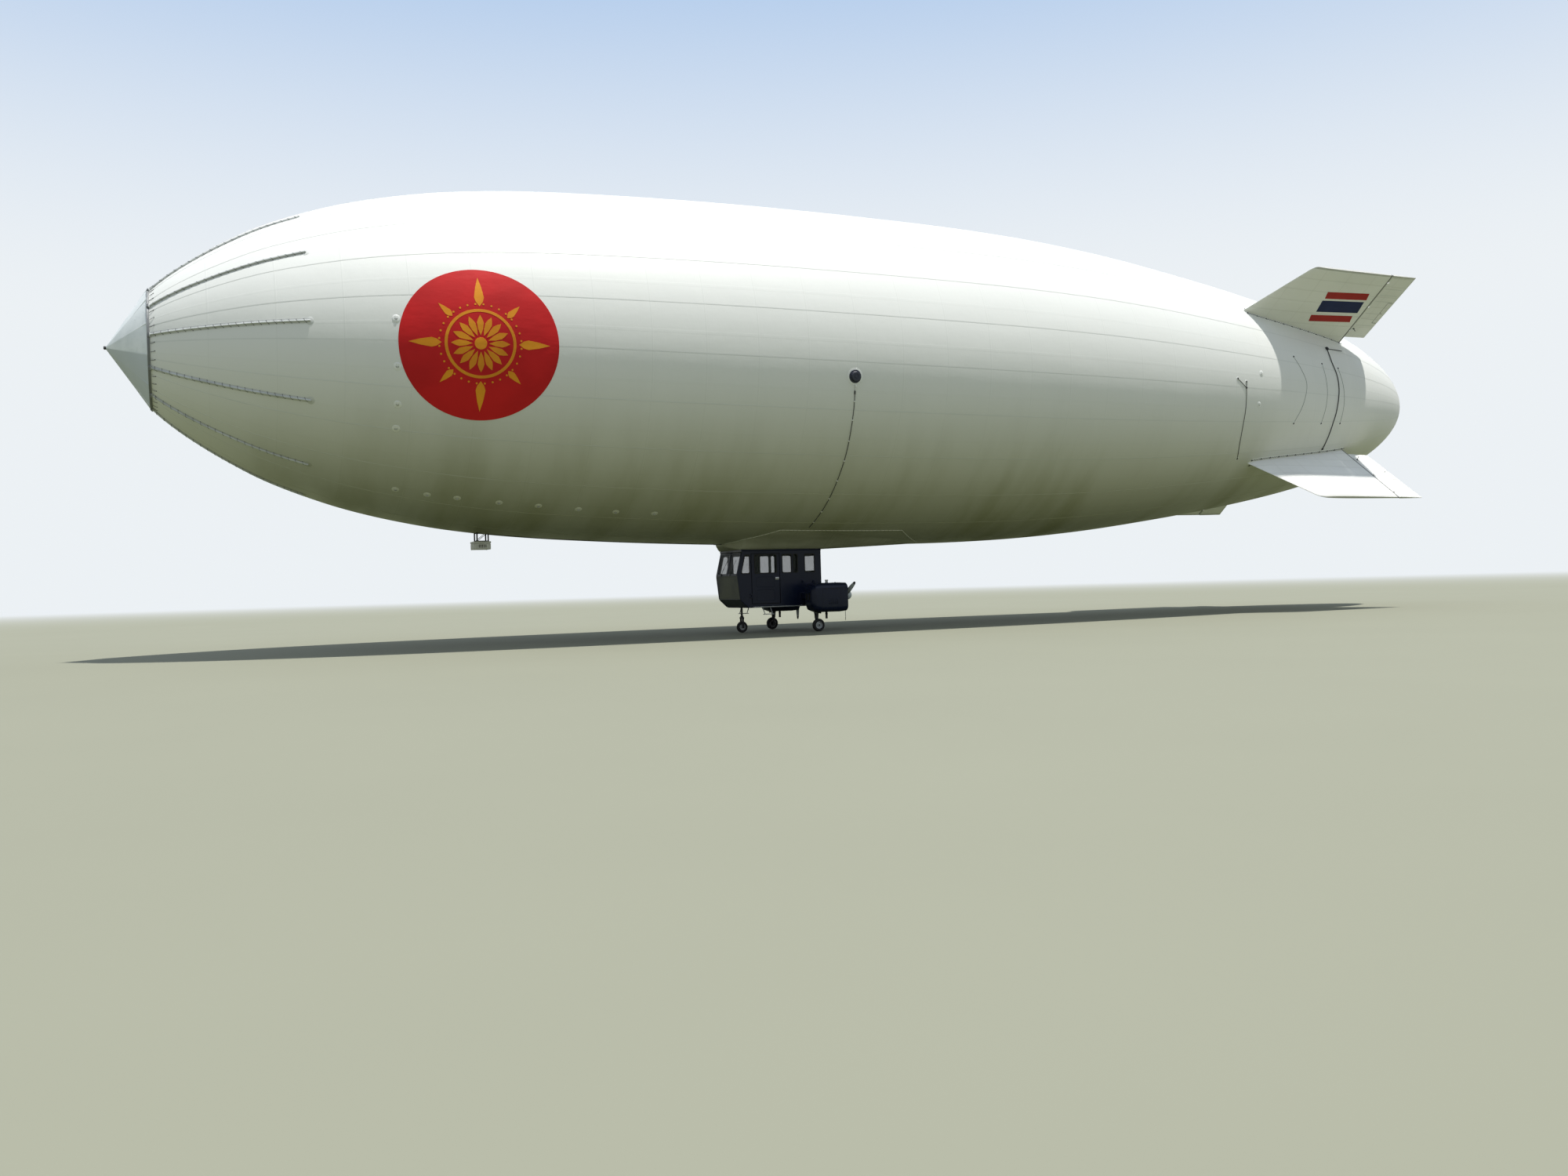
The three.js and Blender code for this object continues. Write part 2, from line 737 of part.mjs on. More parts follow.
const glassPane = (outline) => plate(outline, glassFace, glassFace + GLASS.thickness);
const aftPane = [AFT_WINDOWS[0][0], AFT_WINDOWS.at(-1)[1]];
const overlapping = (x0, x1) =>
  rectangle(x0 - GLASS.overlap, x1 + GLASS.overlap, GLASS.bottom - GLASS.overlap, GLASS.top + GLASS.overlap);
const quarterPane = [
  [QUARTER_WINDOW.frontBottom - GLASS.overlap, GLASS.bottom - GLASS.overlap],
  [QUARTER_WINDOW.back + GLASS.overlap, GLASS.bottom - GLASS.overlap],
  [QUARTER_WINDOW.back + GLASS.overlap, GLASS.top + GLASS.overlap],
  [QUARTER_WINDOW.frontTop - GLASS.overlap, GLASS.top + GLASS.overlap],
];
for (const [side, group] of groundSides) {
  place(group, `cabin_side_${side}`, geometryOf(sidePanel()), MATERIALS.navy);
  place(group, `door_${side}`, geometryOf(doorPanel()), MATERIALS.navy);
  place(group, `glass_quarter_${side}`, glassPane(quarterPane), MATERIALS.glass);
  place(group, `glass_aft_${side}`, glassPane(overlapping(...aftPane)), MATERIALS.glass);
  const doorPane = glassPane(overlapping(DOOR.windowFront, DOOR.windowBack));
  place(group, `glass_door_${side}`, doorPane, MATERIALS.glass);
}

// Seats: base, cushion and backrest in one side outline, in millimetres from the seat's front.
const seatOutline = [
  [0, 300],
  [0, 430],
  [430, 400],
  [540, 1010],
  [640, 990],
  [540, 300],
  [450, 300],
  [450, GAP],
  [100, GAP],
  [100, 300],
];
for (const [name, front, middle, width] of SEATS)
  place(
    stations,
    name,
    plate(
      seatOutline.map(([x, z]) => [front + x, CABIN.floor + z]),
      middle - width / 2,
      middle + width / 2,
    ),
    MATERIALS.seat,
  );

// Instrument panel on its pedestal
place(
  stations,
  "instrument_panel",
  geometryOf(
    joined(
      box(DASH.front, DASH.back, -DASH.half, DASH.half, DASH.bottom, DASH.top),
      box(
        DASH.pedestal,
        DASH.back,
        -DASH.pedestalHalf,
        DASH.pedestalHalf,
        CABIN.floor + GAP,
        DASH.pedestalTop,
      ),
    ),
  ),
  MATERIALS.panel,
);

// Engine nacelles, hollow, with a round hole for the shaft in the flat rear face and an exhaust stub below
function nacelleRing([x, half, bottom, top], inset) {
  const [w, low, high] = [half - inset, bottom + inset, top - inset];
  const corner = NACELLE.corner * half;
  return Array.from({ length: 16 }, (_, i) => {
    const quarter = Math.floor(i / 4);
    const angle = ((quarter + (i % 4) / 3) * Math.PI) / 2;
    const signY = quarter === 0 || quarter === 3 ? 1 : -1;
    const centreZ = quarter < 2 ? high - corner : low + corner;
    return [x, signY * (w - corner) + corner * Math.cos(angle), centreZ + corner * Math.sin(angle)];
  });
}
const holeRing = (x) =>
  Array.from({ length: 16 }, (_, i) => {
    const angle = ((i + 0.5) * Math.PI) / 8;
    return [x, NACELLE.hole * Math.cos(angle), ENGINE_LINE.z + NACELLE.hole * Math.sin(angle)];
  });
const shifted = ([x, ...rest], step) => [x + step, ...rest];
const firstSection = NACELLE_SECTIONS[0];
const lastSection = NACELLE_SECTIONS.at(-1);
const nacelleInside = (inset) => [
  nacelleRing(shifted(firstSection, inset), inset),
  ...NACELLE_SECTIONS.slice(1, -1).map((section) => nacelleRing(section, inset)),
  nacelleRing(shifted(lastSection, -inset), inset),
];
const nacelleShell = loft([
  ...nacelleInside(NACELLE.wall),
  holeRing(lastSection[0] - NACELLE.wall),
  holeRing(lastSection[0]),
  ...NACELLE_SECTIONS.map((section) => nacelleRing(section, 0)).toReversed(),
]);
const exhaustTop = NACELLE_SECTIONS[3][2] + NACELLE.wall / 2;
const exhaust = cylinderZ(EXHAUST.radius, EXHAUST.bottom, exhaustTop, 10).translate(EXHAUST.x, 0, 0);
const nacelle = geometryOf(joined(nacelleShell, exhaust)).translate(0, -ENGINE_LINE.y, 0);

// Engine: one block on the nacelle's floor, with the shaft that carries the propeller.
const engineRoom = solid(loft(nacelleInside(NACELLE.wall + GAP)));
const engine = solid(box(ENGINE.front, ENGINE.back, -ENGINE.half, ENGINE.half, 500, ENGINE.top))
  .intersect(engineRoom)
  .add(solid(cylinderX(ENGINE.shaft, ENGINE.back - 50, ENGINE.shaftEnd).translate(0, 0, ENGINE_LINE.z)));

// Propeller: a spinner with a bore for the shaft, and twisted blades.
function blade(turn) {
  const rings = BLADE_SECTIONS.map(([radius, chord, thickness, degrees]) => {
    const angle = THREE.MathUtils.degToRad(degrees);
    const section = [
      [-0.5, 0],
      [-0.2, 0.5],
      [0.2, 0.4],
      [0.5, 0],
      [0.2, -0.4],
      [-0.2, -0.5],
    ];
    return section.map(([along, across]) => {
      const [c, t] = [along * chord, across * thickness];
      return [
        PROPELLER.blade + c * Math.sin(angle) + t * Math.cos(angle),
        c * Math.cos(angle) - t * Math.sin(angle),
        radius,
      ];
    });
  });
  return loft(rings).rotateX(turn);
}
const spinner = turnedAlongX(
  [
    [PROPELLER.front, 0],
    [PROPELLER.front, PROPELLER.hub],
    [PROPELLER.tip - 160, PROPELLER.hub],
    [PROPELLER.tip - 80, 0.82 * PROPELLER.hub],
    [PROPELLER.tip - 25, 0.5 * PROPELLER.hub],
    [PROPELLER.tip, 0],
  ],
  16,
);
const blades = Array.from({ length: PROPELLER.blades }, (_, i) =>
  blade(Math.PI + (i * 2 * Math.PI) / PROPELLER.blades),
);
const shaftBore = solid(cylinderX(boreRadius(ENGINE.shaft), PROPELLER.front - 10, ENGINE.shaftEnd + GAP));
const propeller = geometryOf(joined(spinner, ...blades).subtract(shaftBore));

for (const [side, group] of groundSides) {
  const line = new THREE.Group();
  line.position.set(0, -ENGINE_LINE.y, 0);
  group.add(line);
  place(group, `nacelle_${side}`, nacelle, MATERIALS.navy);
  place(line, `engine_${side}`, geometryOf(engine), MATERIALS.darkMetal);
  place(line, `propeller_${side}`, propeller, MATERIALS.white).position.z = ENGINE_LINE.z;
  place(
    group,
    `outrigger_${side}`,
    box(
      OUTRIGGER.front,
      OUTRIGGER.back,
      -ENGINE_LINE.y + NACELLE_SECTIONS[3][1] + GAP,
      skin - GAP,
      OUTRIGGER.bottom,
      OUTRIGGER.top,
    ),
    MATERIALS.navy,
  );
}

// Wheels: a rim with a bore for the axle, and a tyre round it, both turned about Y.
function rim({ rim: radius, rimWidth, axle }) {
  const half = rimWidth / 2;
  const bore = boreRadius(axle, WHEEL_SEGMENTS);
  return turnedAlongY(
    [
      [-half, bore],
      [-half, 0.45 * radius],
      [-0.3 * half, 0.55 * radius],
      [-0.3 * half, 0.8 * radius],
      [-half, 0.9 * radius],
      [-half, radius],
      [half, radius],
      [half, 0.9 * radius],
      [0.3 * half, 0.8 * radius],
      [0.3 * half, 0.55 * radius],
      [half, 0.45 * radius],
      [half, bore],
      [-half, bore],
    ],
    WHEEL_SEGMENTS,
  );
}
function tyre({ rim: inner, radius, width }) {
  const half = width / 2;
  const wall = radius - inner;
  return turnedAlongY(
    [
      [-0.72 * half, inner + GAP],
      [-half, inner + 0.35 * wall],
      [-half, inner + 0.62 * wall],
      [-0.62 * half, inner + 0.93 * wall],
      [0, radius],
      [0.62 * half, inner + 0.93 * wall],
      [half, inner + 0.62 * wall],
      [half, inner + 0.35 * wall],
      [0.72 * half, inner + GAP],
      [-0.72 * half, inner + GAP],
    ],
    WHEEL_SEGMENTS,
  );
}

// Main gear under each nacelle: a top plate, a leg inboard of the wheel, and the axle.
const nacelleBottom = NACELLE_SECTIONS[2][2];
const leg = geometryOf(
  joined(
    box(
      MAIN_WHEEL.x - MAIN_LEG.plate,
      MAIN_WHEEL.x + MAIN_LEG.plate,
      -ENGINE_LINE.y - 60,
      -MAIN_LEG.inner,
      nacelleBottom - 40,
      nacelleBottom - GAP,
    ),
    box(
      MAIN_WHEEL.x - MAIN_LEG.half,
      MAIN_WHEEL.x + MAIN_LEG.half,
      -MAIN_LEG.outer,
      -MAIN_LEG.inner,
      MAIN_WHEEL.radius - 40,
      nacelleBottom - 20,
    ),
    cylinderY(MAIN_WHEEL.axle, -ENGINE_LINE.y - MAIN_WHEEL.rimWidth / 2 - 30, -MAIN_LEG.inner - 10).translate(
      MAIN_WHEEL.x,
      0,
      MAIN_WHEEL.radius,
    ),
  ),
);
for (const [side, group] of groundSides) {
  place(group, `main_leg_${side}`, leg, MATERIALS.darkMetal);
  const hub = new THREE.Group();
  hub.position.set(MAIN_WHEEL.x, -ENGINE_LINE.y, MAIN_WHEEL.radius);
  group.add(hub);
  place(hub, `main_rim_${side}`, rim(MAIN_WHEEL), MATERIALS.steel);
  place(hub, `main_tyre_${side}`, tyre(MAIN_WHEEL), MATERIALS.rubber);
}

// Nose gear: a fork that steers in the floor socket, and its wheel.
const forkBlade = (sign) =>
  box(
    NOSE_WHEEL.x - NOSE_FORK.half,
    NOSE_WHEEL.x + NOSE_FORK.half,
    Math.min(sign * NOSE_FORK.inner, sign * NOSE_FORK.outer),
    Math.max(sign * NOSE_FORK.inner, sign * NOSE_FORK.outer),
    NOSE_WHEEL.radius - 35,
    NOSE_FORK.crown + 20,
  );
place(
  stations,
  "nose_fork",
  geometryOf(
    joined(
      forkBlade(1),
      forkBlade(-1),
      box(
        NOSE_WHEEL.x - NOSE_FORK.half - 10,
        NOSE_WHEEL.x + NOSE_FORK.half + 10,
        -NOSE_FORK.outer,
        NOSE_FORK.outer,
        NOSE_FORK.crown,
        NOSE_FORK.crownTop,
      ),
      cylinderY(NOSE_WHEEL.axle, -NOSE_FORK.outer, NOSE_FORK.outer).translate(
        NOSE_WHEEL.x,
        0,
        NOSE_WHEEL.radius,
      ),
      cylinderZ(FLOOR_SOCKET.radius, NOSE_FORK.crown + 20, CABIN.floor).translate(FLOOR_SOCKET.x, 0, 0),
    ),
  ),
  MATERIALS.darkMetal,
);
const noseHub = new THREE.Group();
noseHub.position.set(NOSE_WHEEL.x, 0, NOSE_WHEEL.radius);
stations.add(noseHub);
place(noseHub, "nose_rim", rim(NOSE_WHEEL), MATERIALS.steel);
place(noseHub, "nose_tyre", tyre(NOSE_WHEEL), MATERIALS.rubber);

export default airship;
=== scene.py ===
# A non-rigid airship at half its real size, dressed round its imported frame.
# Metres, nose towards -X, port side towards -Y, the ground at z = 0.
import json
import math

import bmesh
import bpy
from mathutils import Matrix, Vector

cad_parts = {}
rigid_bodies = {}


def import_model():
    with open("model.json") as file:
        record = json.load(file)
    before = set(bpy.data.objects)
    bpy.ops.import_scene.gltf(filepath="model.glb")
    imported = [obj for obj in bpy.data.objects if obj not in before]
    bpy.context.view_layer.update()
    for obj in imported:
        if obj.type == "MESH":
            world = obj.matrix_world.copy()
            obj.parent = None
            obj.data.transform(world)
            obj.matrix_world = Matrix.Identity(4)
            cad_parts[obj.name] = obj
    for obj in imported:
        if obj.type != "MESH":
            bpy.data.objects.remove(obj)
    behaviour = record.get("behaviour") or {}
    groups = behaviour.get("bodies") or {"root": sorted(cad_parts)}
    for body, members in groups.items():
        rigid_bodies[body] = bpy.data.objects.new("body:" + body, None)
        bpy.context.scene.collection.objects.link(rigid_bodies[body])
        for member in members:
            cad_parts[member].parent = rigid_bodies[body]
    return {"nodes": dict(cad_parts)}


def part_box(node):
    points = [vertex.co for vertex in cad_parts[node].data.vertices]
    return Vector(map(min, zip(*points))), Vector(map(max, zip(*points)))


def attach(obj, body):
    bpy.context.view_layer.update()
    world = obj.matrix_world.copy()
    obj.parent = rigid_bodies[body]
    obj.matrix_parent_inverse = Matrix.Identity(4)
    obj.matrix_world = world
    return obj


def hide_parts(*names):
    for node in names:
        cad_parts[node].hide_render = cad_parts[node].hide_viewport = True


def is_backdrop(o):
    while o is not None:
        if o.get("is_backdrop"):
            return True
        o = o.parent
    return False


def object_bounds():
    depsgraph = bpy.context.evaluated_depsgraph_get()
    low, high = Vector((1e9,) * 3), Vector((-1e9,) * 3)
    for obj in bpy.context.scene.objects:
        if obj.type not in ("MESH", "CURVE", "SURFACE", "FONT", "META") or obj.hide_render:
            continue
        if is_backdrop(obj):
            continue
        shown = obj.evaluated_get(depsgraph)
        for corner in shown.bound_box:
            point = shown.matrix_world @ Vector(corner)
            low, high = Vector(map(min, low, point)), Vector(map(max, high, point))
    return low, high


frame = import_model()
cad_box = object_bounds()

# Camera, floor and light.
# The photograph was taken from a low stand off the port bow. The floor is pale and plain and fades
# into the backdrop; the light is a high sun, a little to port, under a bright and even sky.
PHOTO_WIDTH = 2000
PHOTO_FOCAL = 1596
SENSOR = 36.0
CAMERA_PLACE = (-10.9845, -18.1749, 0.7514)
CAMERA_YAW = math.radians(25.585)
CAMERA_PITCH = math.radians(-0.182)
CAMERA_ROLL = math.radians(-1.642)
FLOOR_REACH = 900
FLOOR_COLOUR = (0.23, 0.235, 0.18, 1)
FLOOR_BOUNCE = (0.120, 0.134, 0.066, 1)
LIGHT_HIGH = (0.56, 0.65, 0.77, 1)
LIGHT_LOW = (0.36, 0.37, 0.36, 1)
BACKDROP_HIGH = (0.26, 0.47, 0.80, 1)
BACKDROP_LOW = (0.84, 0.88, 0.91, 1)
SUN_HEIGHT = math.radians(82.8)
SUN_AFT = math.radians(9)
SUN_STRENGTH = 4.7
SUN_WIDTH = math.radians(1.5)
SUN_COLOUR = (1.0, 0.97, 0.91)
HAZE_START = 25
HAZE_END = 110


def shift(*by):
    return Matrix.Translation(by)


def spun(turn, axis="Z"):
    return Matrix.Rotation(turn, 4, axis)


def placed(name, data):
    made = bpy.data.objects.new(name, data)
    bpy.context.scene.collection.objects.link(made)
    return made


lens = bpy.data.cameras.new("camera")
lens.sensor_width = SENSOR
lens.lens = SENSOR * PHOTO_FOCAL / PHOTO_WIDTH
lens.clip_end = 3 * FLOOR_REACH
camera = placed("camera", lens)
aim = spun(-CAMERA_YAW) @ spun(math.pi / 2 + CAMERA_PITCH, "X") @ spun(CAMERA_ROLL)
camera.matrix_world = shift(*CAMERA_PLACE) @ aim
bpy.context.scene.camera = camera
bpy.context.scene.view_settings.view_transform = "Standard"


class Socket:
    """One output in a material's tree. Arithmetic on it adds Math nodes, and node() any other."""

    def __init__(self, tree, output=None):
        self.tree, self.output = tree, output

    def node(self, kind, settings, inputs, out=0):
        made = self.tree.nodes.new("ShaderNode" + kind)
        for name, value in settings.items():
            setattr(made, name, value)
        for name, value in inputs.items():
            self.feed(made.inputs[name], value)
        return Socket(self.tree, made.outputs[out])

    def feed(self, socket, value):
        if isinstance(value, Socket):
            self.tree.links.new(value.output, socket)
        else:
            socket.default_value = value

    def math(self, operation, *values):
        return self.node("Math", {"operation": operation}, dict(enumerate((self, *values))))

    def smooth(self, low, high):
        ends = {"Value": self, "From Min": low, "From Max": high}
        return self.node("MapRange", {"interpolation_type": "SMOOTHSTEP"}, ends)

    def mix(self, bare, full):
        """The colour that goes from bare to full as this value goes from 0 to 1."""
        return self.node("Mix", {"data_type": "RGBA"}, {0: self, 6: bare, 7: full}, out=2)

    def noise(self, scale, detail=3, stretch=(1, 1, 1)):
        """Cloudy noise over this vector, from 0 to 1."""
        at = self.node("Mapping", {}, {"Vector": self, "Scale": stretch})
        return at.node("TexNoise", {}, {"Vector": at, "Scale": scale, "Detail": detail})

    def split(self):
        return [self.node("SeparateXYZ", {}, {"Vector": self}, out=i) for i in range(3)]

    def line(self, pitch, width, phase=0.0):
        """One along narrow lines a pitch apart on this value, with soft edges, and 0 between them."""
        share = (self / pitch + (100.5 + phase)).math("FRACT")
        return 1 - (share - 0.5).math("ABSOLUTE").smooth(0.5 * width / pitch, 0.9 * width / pitch)

    def __add__(self, other):
        return self.math("ADD", other)

    def __sub__(self, other):
        return self.math("SUBTRACT", other)

    def __rsub__(self, other):
        return self * -1 + other

    def __mul__(self, other):
        return self.math("MULTIPLY", other)

    def __truediv__(self, other):
        return self.math("DIVIDE", other)

    __radd__ = __add__
    __rmul__ = __mul__


def finish_of(name, **values):
    """A new material and its Object coordinates, with the shader's plain values set."""
    made = bpy.data.materials.new(name)
    made.use_nodes = True
    for socket, value in values.items():
        made.node_tree.nodes["Principled BSDF"].inputs[socket.replace("_", " ")].default_value = value
    return made, Socket(made.node_tree).node("TexCoord", {}, {}, out="Object")


def paint(made, colour=None, roughness=None, height=None, depth=0.001, **others):
    """Links a finish's colour, roughness and bump, and any other socket that may vary."""
    tree = Socket(made.node_tree)
    if height is not None:
        others["Normal"] = tree.node("Bump", {}, {"Height": height, "Distance": depth}, out="Normal")
    for name, value in {"Base Color": colour, "Roughness": roughness, **others}.items():
        if value is not None:
            tree.feed(made.node_tree.nodes["Principled BSDF"].inputs[name], value)
    return made


def tinted(colour, factor):
    return tuple(factor * c for c in colour[:3]) + (1,)


def camera_ray(tree):
    return tree.node("LightPath", {}, {}, out="Is Camera Ray")


def sky():
    """Soft light, strongest from overhead, and a pale backdrop that only the camera sees."""
    world = bpy.data.worlds.new("sky")
    world.use_nodes = True
    bpy.context.scene.world = world
    tree = Socket(world.node_tree)
    height = tree.node("TexCoord", {}, {}, out="Generated").split()[2]
    light = height.smooth(0, 0.8).mix(LIGHT_LOW, LIGHT_HIGH)
    backdrop = height.smooth(0.19, 0.60).mix(BACKDROP_LOW, BACKDROP_HIGH)
    tree.feed(world.node_tree.nodes["Background"].inputs["Color"], camera_ray(tree).mix(light, backdrop))


def floor_finish():
    """Plain pale ground that fades into the backdrop far off, and throws back a duller light."""
    made, at = finish_of("pale_floor", Roughness=0.9)
    nodes = made.node_tree.nodes
    mottle = at.noise(0.4).mix(tinted(FLOOR_COLOUR, 0.97), tinted(FLOOR_COLOUR, 1.03))
    paint(made, camera_ray(at).mix(FLOOR_BOUNCE, mottle))
    haze = at.node("Emission", {}, {"Color": BACKDROP_LOW})
    distance = at.node("VectorMath", {"operation": "LENGTH"}, {"Vector": at}, out="Value")
    near = Socket(at.tree, nodes["Principled BSDF"].outputs[0])
    surface = at.node("MixShader", {}, {0: distance.smooth(HAZE_START, HAZE_END), 1: near, 2: haze})
    at.feed(nodes["Material Output"].inputs["Surface"], surface)
    return made


sky()
sun_light = bpy.data.lights.new("sun", "SUN")
sun_light.energy, sun_light.angle, sun_light.color = SUN_STRENGTH, SUN_WIDTH, SUN_COLOUR
placed("sun", sun_light).rotation_euler = (math.pi / 2 - SUN_HEIGHT, SUN_AFT, 0)

floor_mesh = bpy.data.meshes.new("floor")
floor_shape = bmesh.new()
bmesh.ops.create_grid(floor_shape, x_segments=2, y_segments=2, size=FLOOR_REACH)
floor_shape.to_mesh(floor_mesh)
floor_shape.free()
floor_mesh.materials.append(floor_finish())
placed("floor", floor_mesh)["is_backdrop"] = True

# Hull envelope.
# Coated white fabric under slight gas pressure: lengthwise gores welded edge to edge, with narrow
# weld tapes over the joints. Turned from the frame's own stations, with four times the facets.
GORES = 24
GORE_PHASE = 0.8
HULL_FACETS = 192
SEAM_TAPE = 0.014
PANEL_PITCH = 0.76
HULL_WHITE = (0.80, 0.81, 0.79, 1)
HULL_GREY = (0.66, 0.68, 0.66, 1)
# Olive grey under the hull: painted shade and a painted reflection of the ground, with some dust.
HULL_UNDERSIDE_SHADE_AND_GRIME = (0.28, 0.28, 0.155, 1)
SIDES = (("port", 1), ("starboard", -1))
AFT, PORT, UP = Vector((1, 0, 0)), Vector((0, -1, 0)), Vector((0, 0, 1))

hull_low, hull_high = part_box("envelope")
AXIS = (hull_low.z + hull_high.z) / 2
HULL_NOSE = hull_low.x
HULL_TAIL = hull_high.x

# Station and outer radius of each ring of the frame's envelope.
reach = {}
for vertex in frame["nodes"]["envelope"].data.vertices:
    x = round(vertex.co.x, 4)
    reach[x] = max(reach.get(x, 0), math.hypot(vertex.co.y, vertex.co.z - AXIS))
stations = [(x, r) for x, r in sorted(reach.items()) if r > 0.3] + [(HULL_TAIL, 0)]
SECTIONS = stations[:1]
for x, r in stations[1:]:
    if x - SECTIONS[-1][0] > 0.02:
        SECTIONS.append((x, r))
SECTIONS[-1] = (HULL_TAIL, 0)


def hull_radius(x):
    """Radius at a station: a smooth curve through the squares of the sections' radii."""
    last = len(SECTIONS) - 1
    i = min(max(next((k for k, s in enumerate(SECTIONS) if s[0] >= x), last), 1), last)
    area = [r * r for _, r in SECTIONS]

    def slope(k):
        before, after = max(k - 1, 0), min(k + 1, last)
        return (area[after] - area[before]) / (SECTIONS[after][0] - SECTIONS[before][0])

    width = SECTIONS[i][0] - SECTIONS[i - 1][0]
    t = min((x - SECTIONS[i - 1][0]) / width, 1)
    squared = (
        (1 + 2 * t) * (1 - t) ** 2 * area[i - 1] + t * (1 - t) ** 2 * width * slope(i - 1)
        + t * t * (3 - 2 * t) * area[i] + t * t * (t - 1) * width * slope(i)
    )
    return math.sqrt(max(squared, 0))


def on_hull(x, angle, lift=0.0):
    """The point at a station and an angle above the port mid-line, in radians, lifted off the skin."""
    rise = (hull_radius(x + 0.01) - hull_radius(x - 0.01)) / 0.02
    out = 1 / math.hypot(1, rise)
    radius = hull_radius(x) + lift * out
    return Vector((x - lift * out * rise, -radius * math.cos(angle), AXIS + radius * math.sin(angle)))


def outward(shape):
    bmesh.ops.recalc_face_normals(shape, faces=shape.faces)
    return shape


def turned(profile, centre, axis, facets, shape=None):
    """A profile of points spun a full turn about an axis."""
    shape = shape or bmesh.new()
    points = [shape.verts.new(p) for p in profile]
    edges = [shape.edges.new(pair) for pair in zip(points, points[1:])]
    bmesh.ops.spin(
        shape, geom=points + edges, cent=centre, axis=axis, dvec=(0, 0, 0),
        angle=2 * math.pi, steps=facets, use_merge=True, use_duplicate=False,
    )
    bmesh.ops.remove_doubles(shape, verts=shape.verts, dist=1e-6)
    return outward(shape)


def lathe(outline, facets, shape=None):
    """Turned about Z from points of radius and height."""
    return turned([Vector((r, 0, h)) for r, h in outline], (0, 0, 0), UP, facets, shape)


def hull_lathe(outline, facets):
    """Turned about the hull's axis from points of station and radius."""
    return turned([Vector((x, 0, AXIS + r)) for x, r in outline], (0, 0, AXIS), AFT, facets)


def piece(name, shape, finish, slot, body="root", stands_for=(), crease=40):
    """Turns a bmesh into a named piece that rides on a body."""
    mesh = bpy.data.meshes.new(name)
    outward(shape).to_mesh(mesh)
    shape.free()
    mesh.materials.append(finish)
    mesh.shade_smooth()
    mesh.set_sharp_from_angle(angle=math.radians(crease))
    made = placed(name, mesh)
    if stands_for:
        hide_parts(*stands_for)
    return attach(made, body)


def both(name, shapes, finish, slot, body="root", stands_for="", crease=40):
    """A piece on each side. Its name, and those of its body and node, end in the side."""
    for (side_name, _), shape in zip(SIDES, shapes):
        piece(f"{name}_{side_name}", shape, finish, slot, body if body == "root" else f"{body}_{side_name}",
              [f"{stands_for}_{side_name}"] if stands_for else (), crease)


def pair(make, *values):
    """The port side's shape and its mirror image."""
    port, starboard = make(*values), make(*values)
    bmesh.ops.transform(starboard, matrix=Matrix.Scale(-1, 4, (0, 1, 0)), verts=starboard.verts)
    return port, starboard


def steps(start, end, step):
    """Even steps from start to end, as near to the given step as they divide."""
    count = max(round(abs(end - start) / step), 1)
    return [start + (end - start) * i / count for i in range(count + 1)]


def around(count, phase=0.0):
    """Angles of even places round a circle."""
    return [2 * math.pi * (i + phase) / count for i in range(count)]


def gather(shape, part, places=(Matrix(),)):
    """Copies a small bmesh into another at each of the given places, and frees it."""
    mould = bpy.data.meshes.new("mould")
    part.to_mesh(mould)
    part.free()
    for place in places:
        copy = mould.copy()
        copy.transform(place)
        shape.from_mesh(copy)
        bpy.data.meshes.remove(copy)
    bpy.data.meshes.remove(mould)
    return shape


def laid(part, places):
    return gather(bmesh.new(), part, places)


def strip(width, thick, path):
    """A closed strip along a path of middle points, each with the way across it."""
    last = len(path) - 1
    ribbon = bmesh.new()
    for vertex in bmesh.ops.create_grid(ribbon, x_segments=last, y_segments=1, size=0.5)["verts"]:
        middle, beside = path[round((vertex.co.x + 0.5) * last)]
        vertex.co = middle + beside * width * vertex.co.y
    bmesh.ops.solidify(ribbon, geom=ribbon.faces, thickness=thick)
    return outward(ribbon)


def hull_place(x, angle, lift=0.0, side=1):
    """A frame on the skin: X aft along it, Y up round it, Z straight out."""
    here = on_hull(x, angle, lift)
    along = (on_hull(x + 0.01, angle, lift) - on_hull(x - 0.01, angle, lift)).normalized()
    out = (on_hull(x, angle, lift + 0.01) - here).normalized()
    axes = Matrix((along, out.cross(along), out)).transposed().to_4x4()
    return Matrix.Scale(side, 4, (0, 1, 0)) @ shift(*here) @ axes


def band(shape, path, width, thick=0.0012):
    """A closed tape of fabric that lies on the skin along a path of (station, angle) points."""
    places = [hull_place(x, angle, 0.0006) for x, angle in path]
    spots = [place.translation for place in places]
    ahead = [after - before for before, after in zip(spots[:1] + spots, spots[1:] + spots[-1:])]
    out = [place.to_3x3() @ UP for place in places]
    line = [(spot, o.cross(a).normalized()) for spot, o, a in zip(spots, out, ahead)]
    return gather(shape, strip(width, -thick, line))


# Stations of the envelope's rings, closer together towards the round tail.
HULL_RINGS = steps(SECTIONS[0][0], HULL_TAIL - 0.5, 0.12)
HULL_RINGS += [HULL_TAIL - 0.5 * (1 - i / 14) ** 2 for i in range(1, 15)]


def below_axis(at):
    """From 0 at the hull's middle to 1 under it, where painted shade, a painted olive reflection of the
    ground and some dust darken the colour.
    """
    return (AXIS - at.split()[2]).smooth(0.2, 2.6)


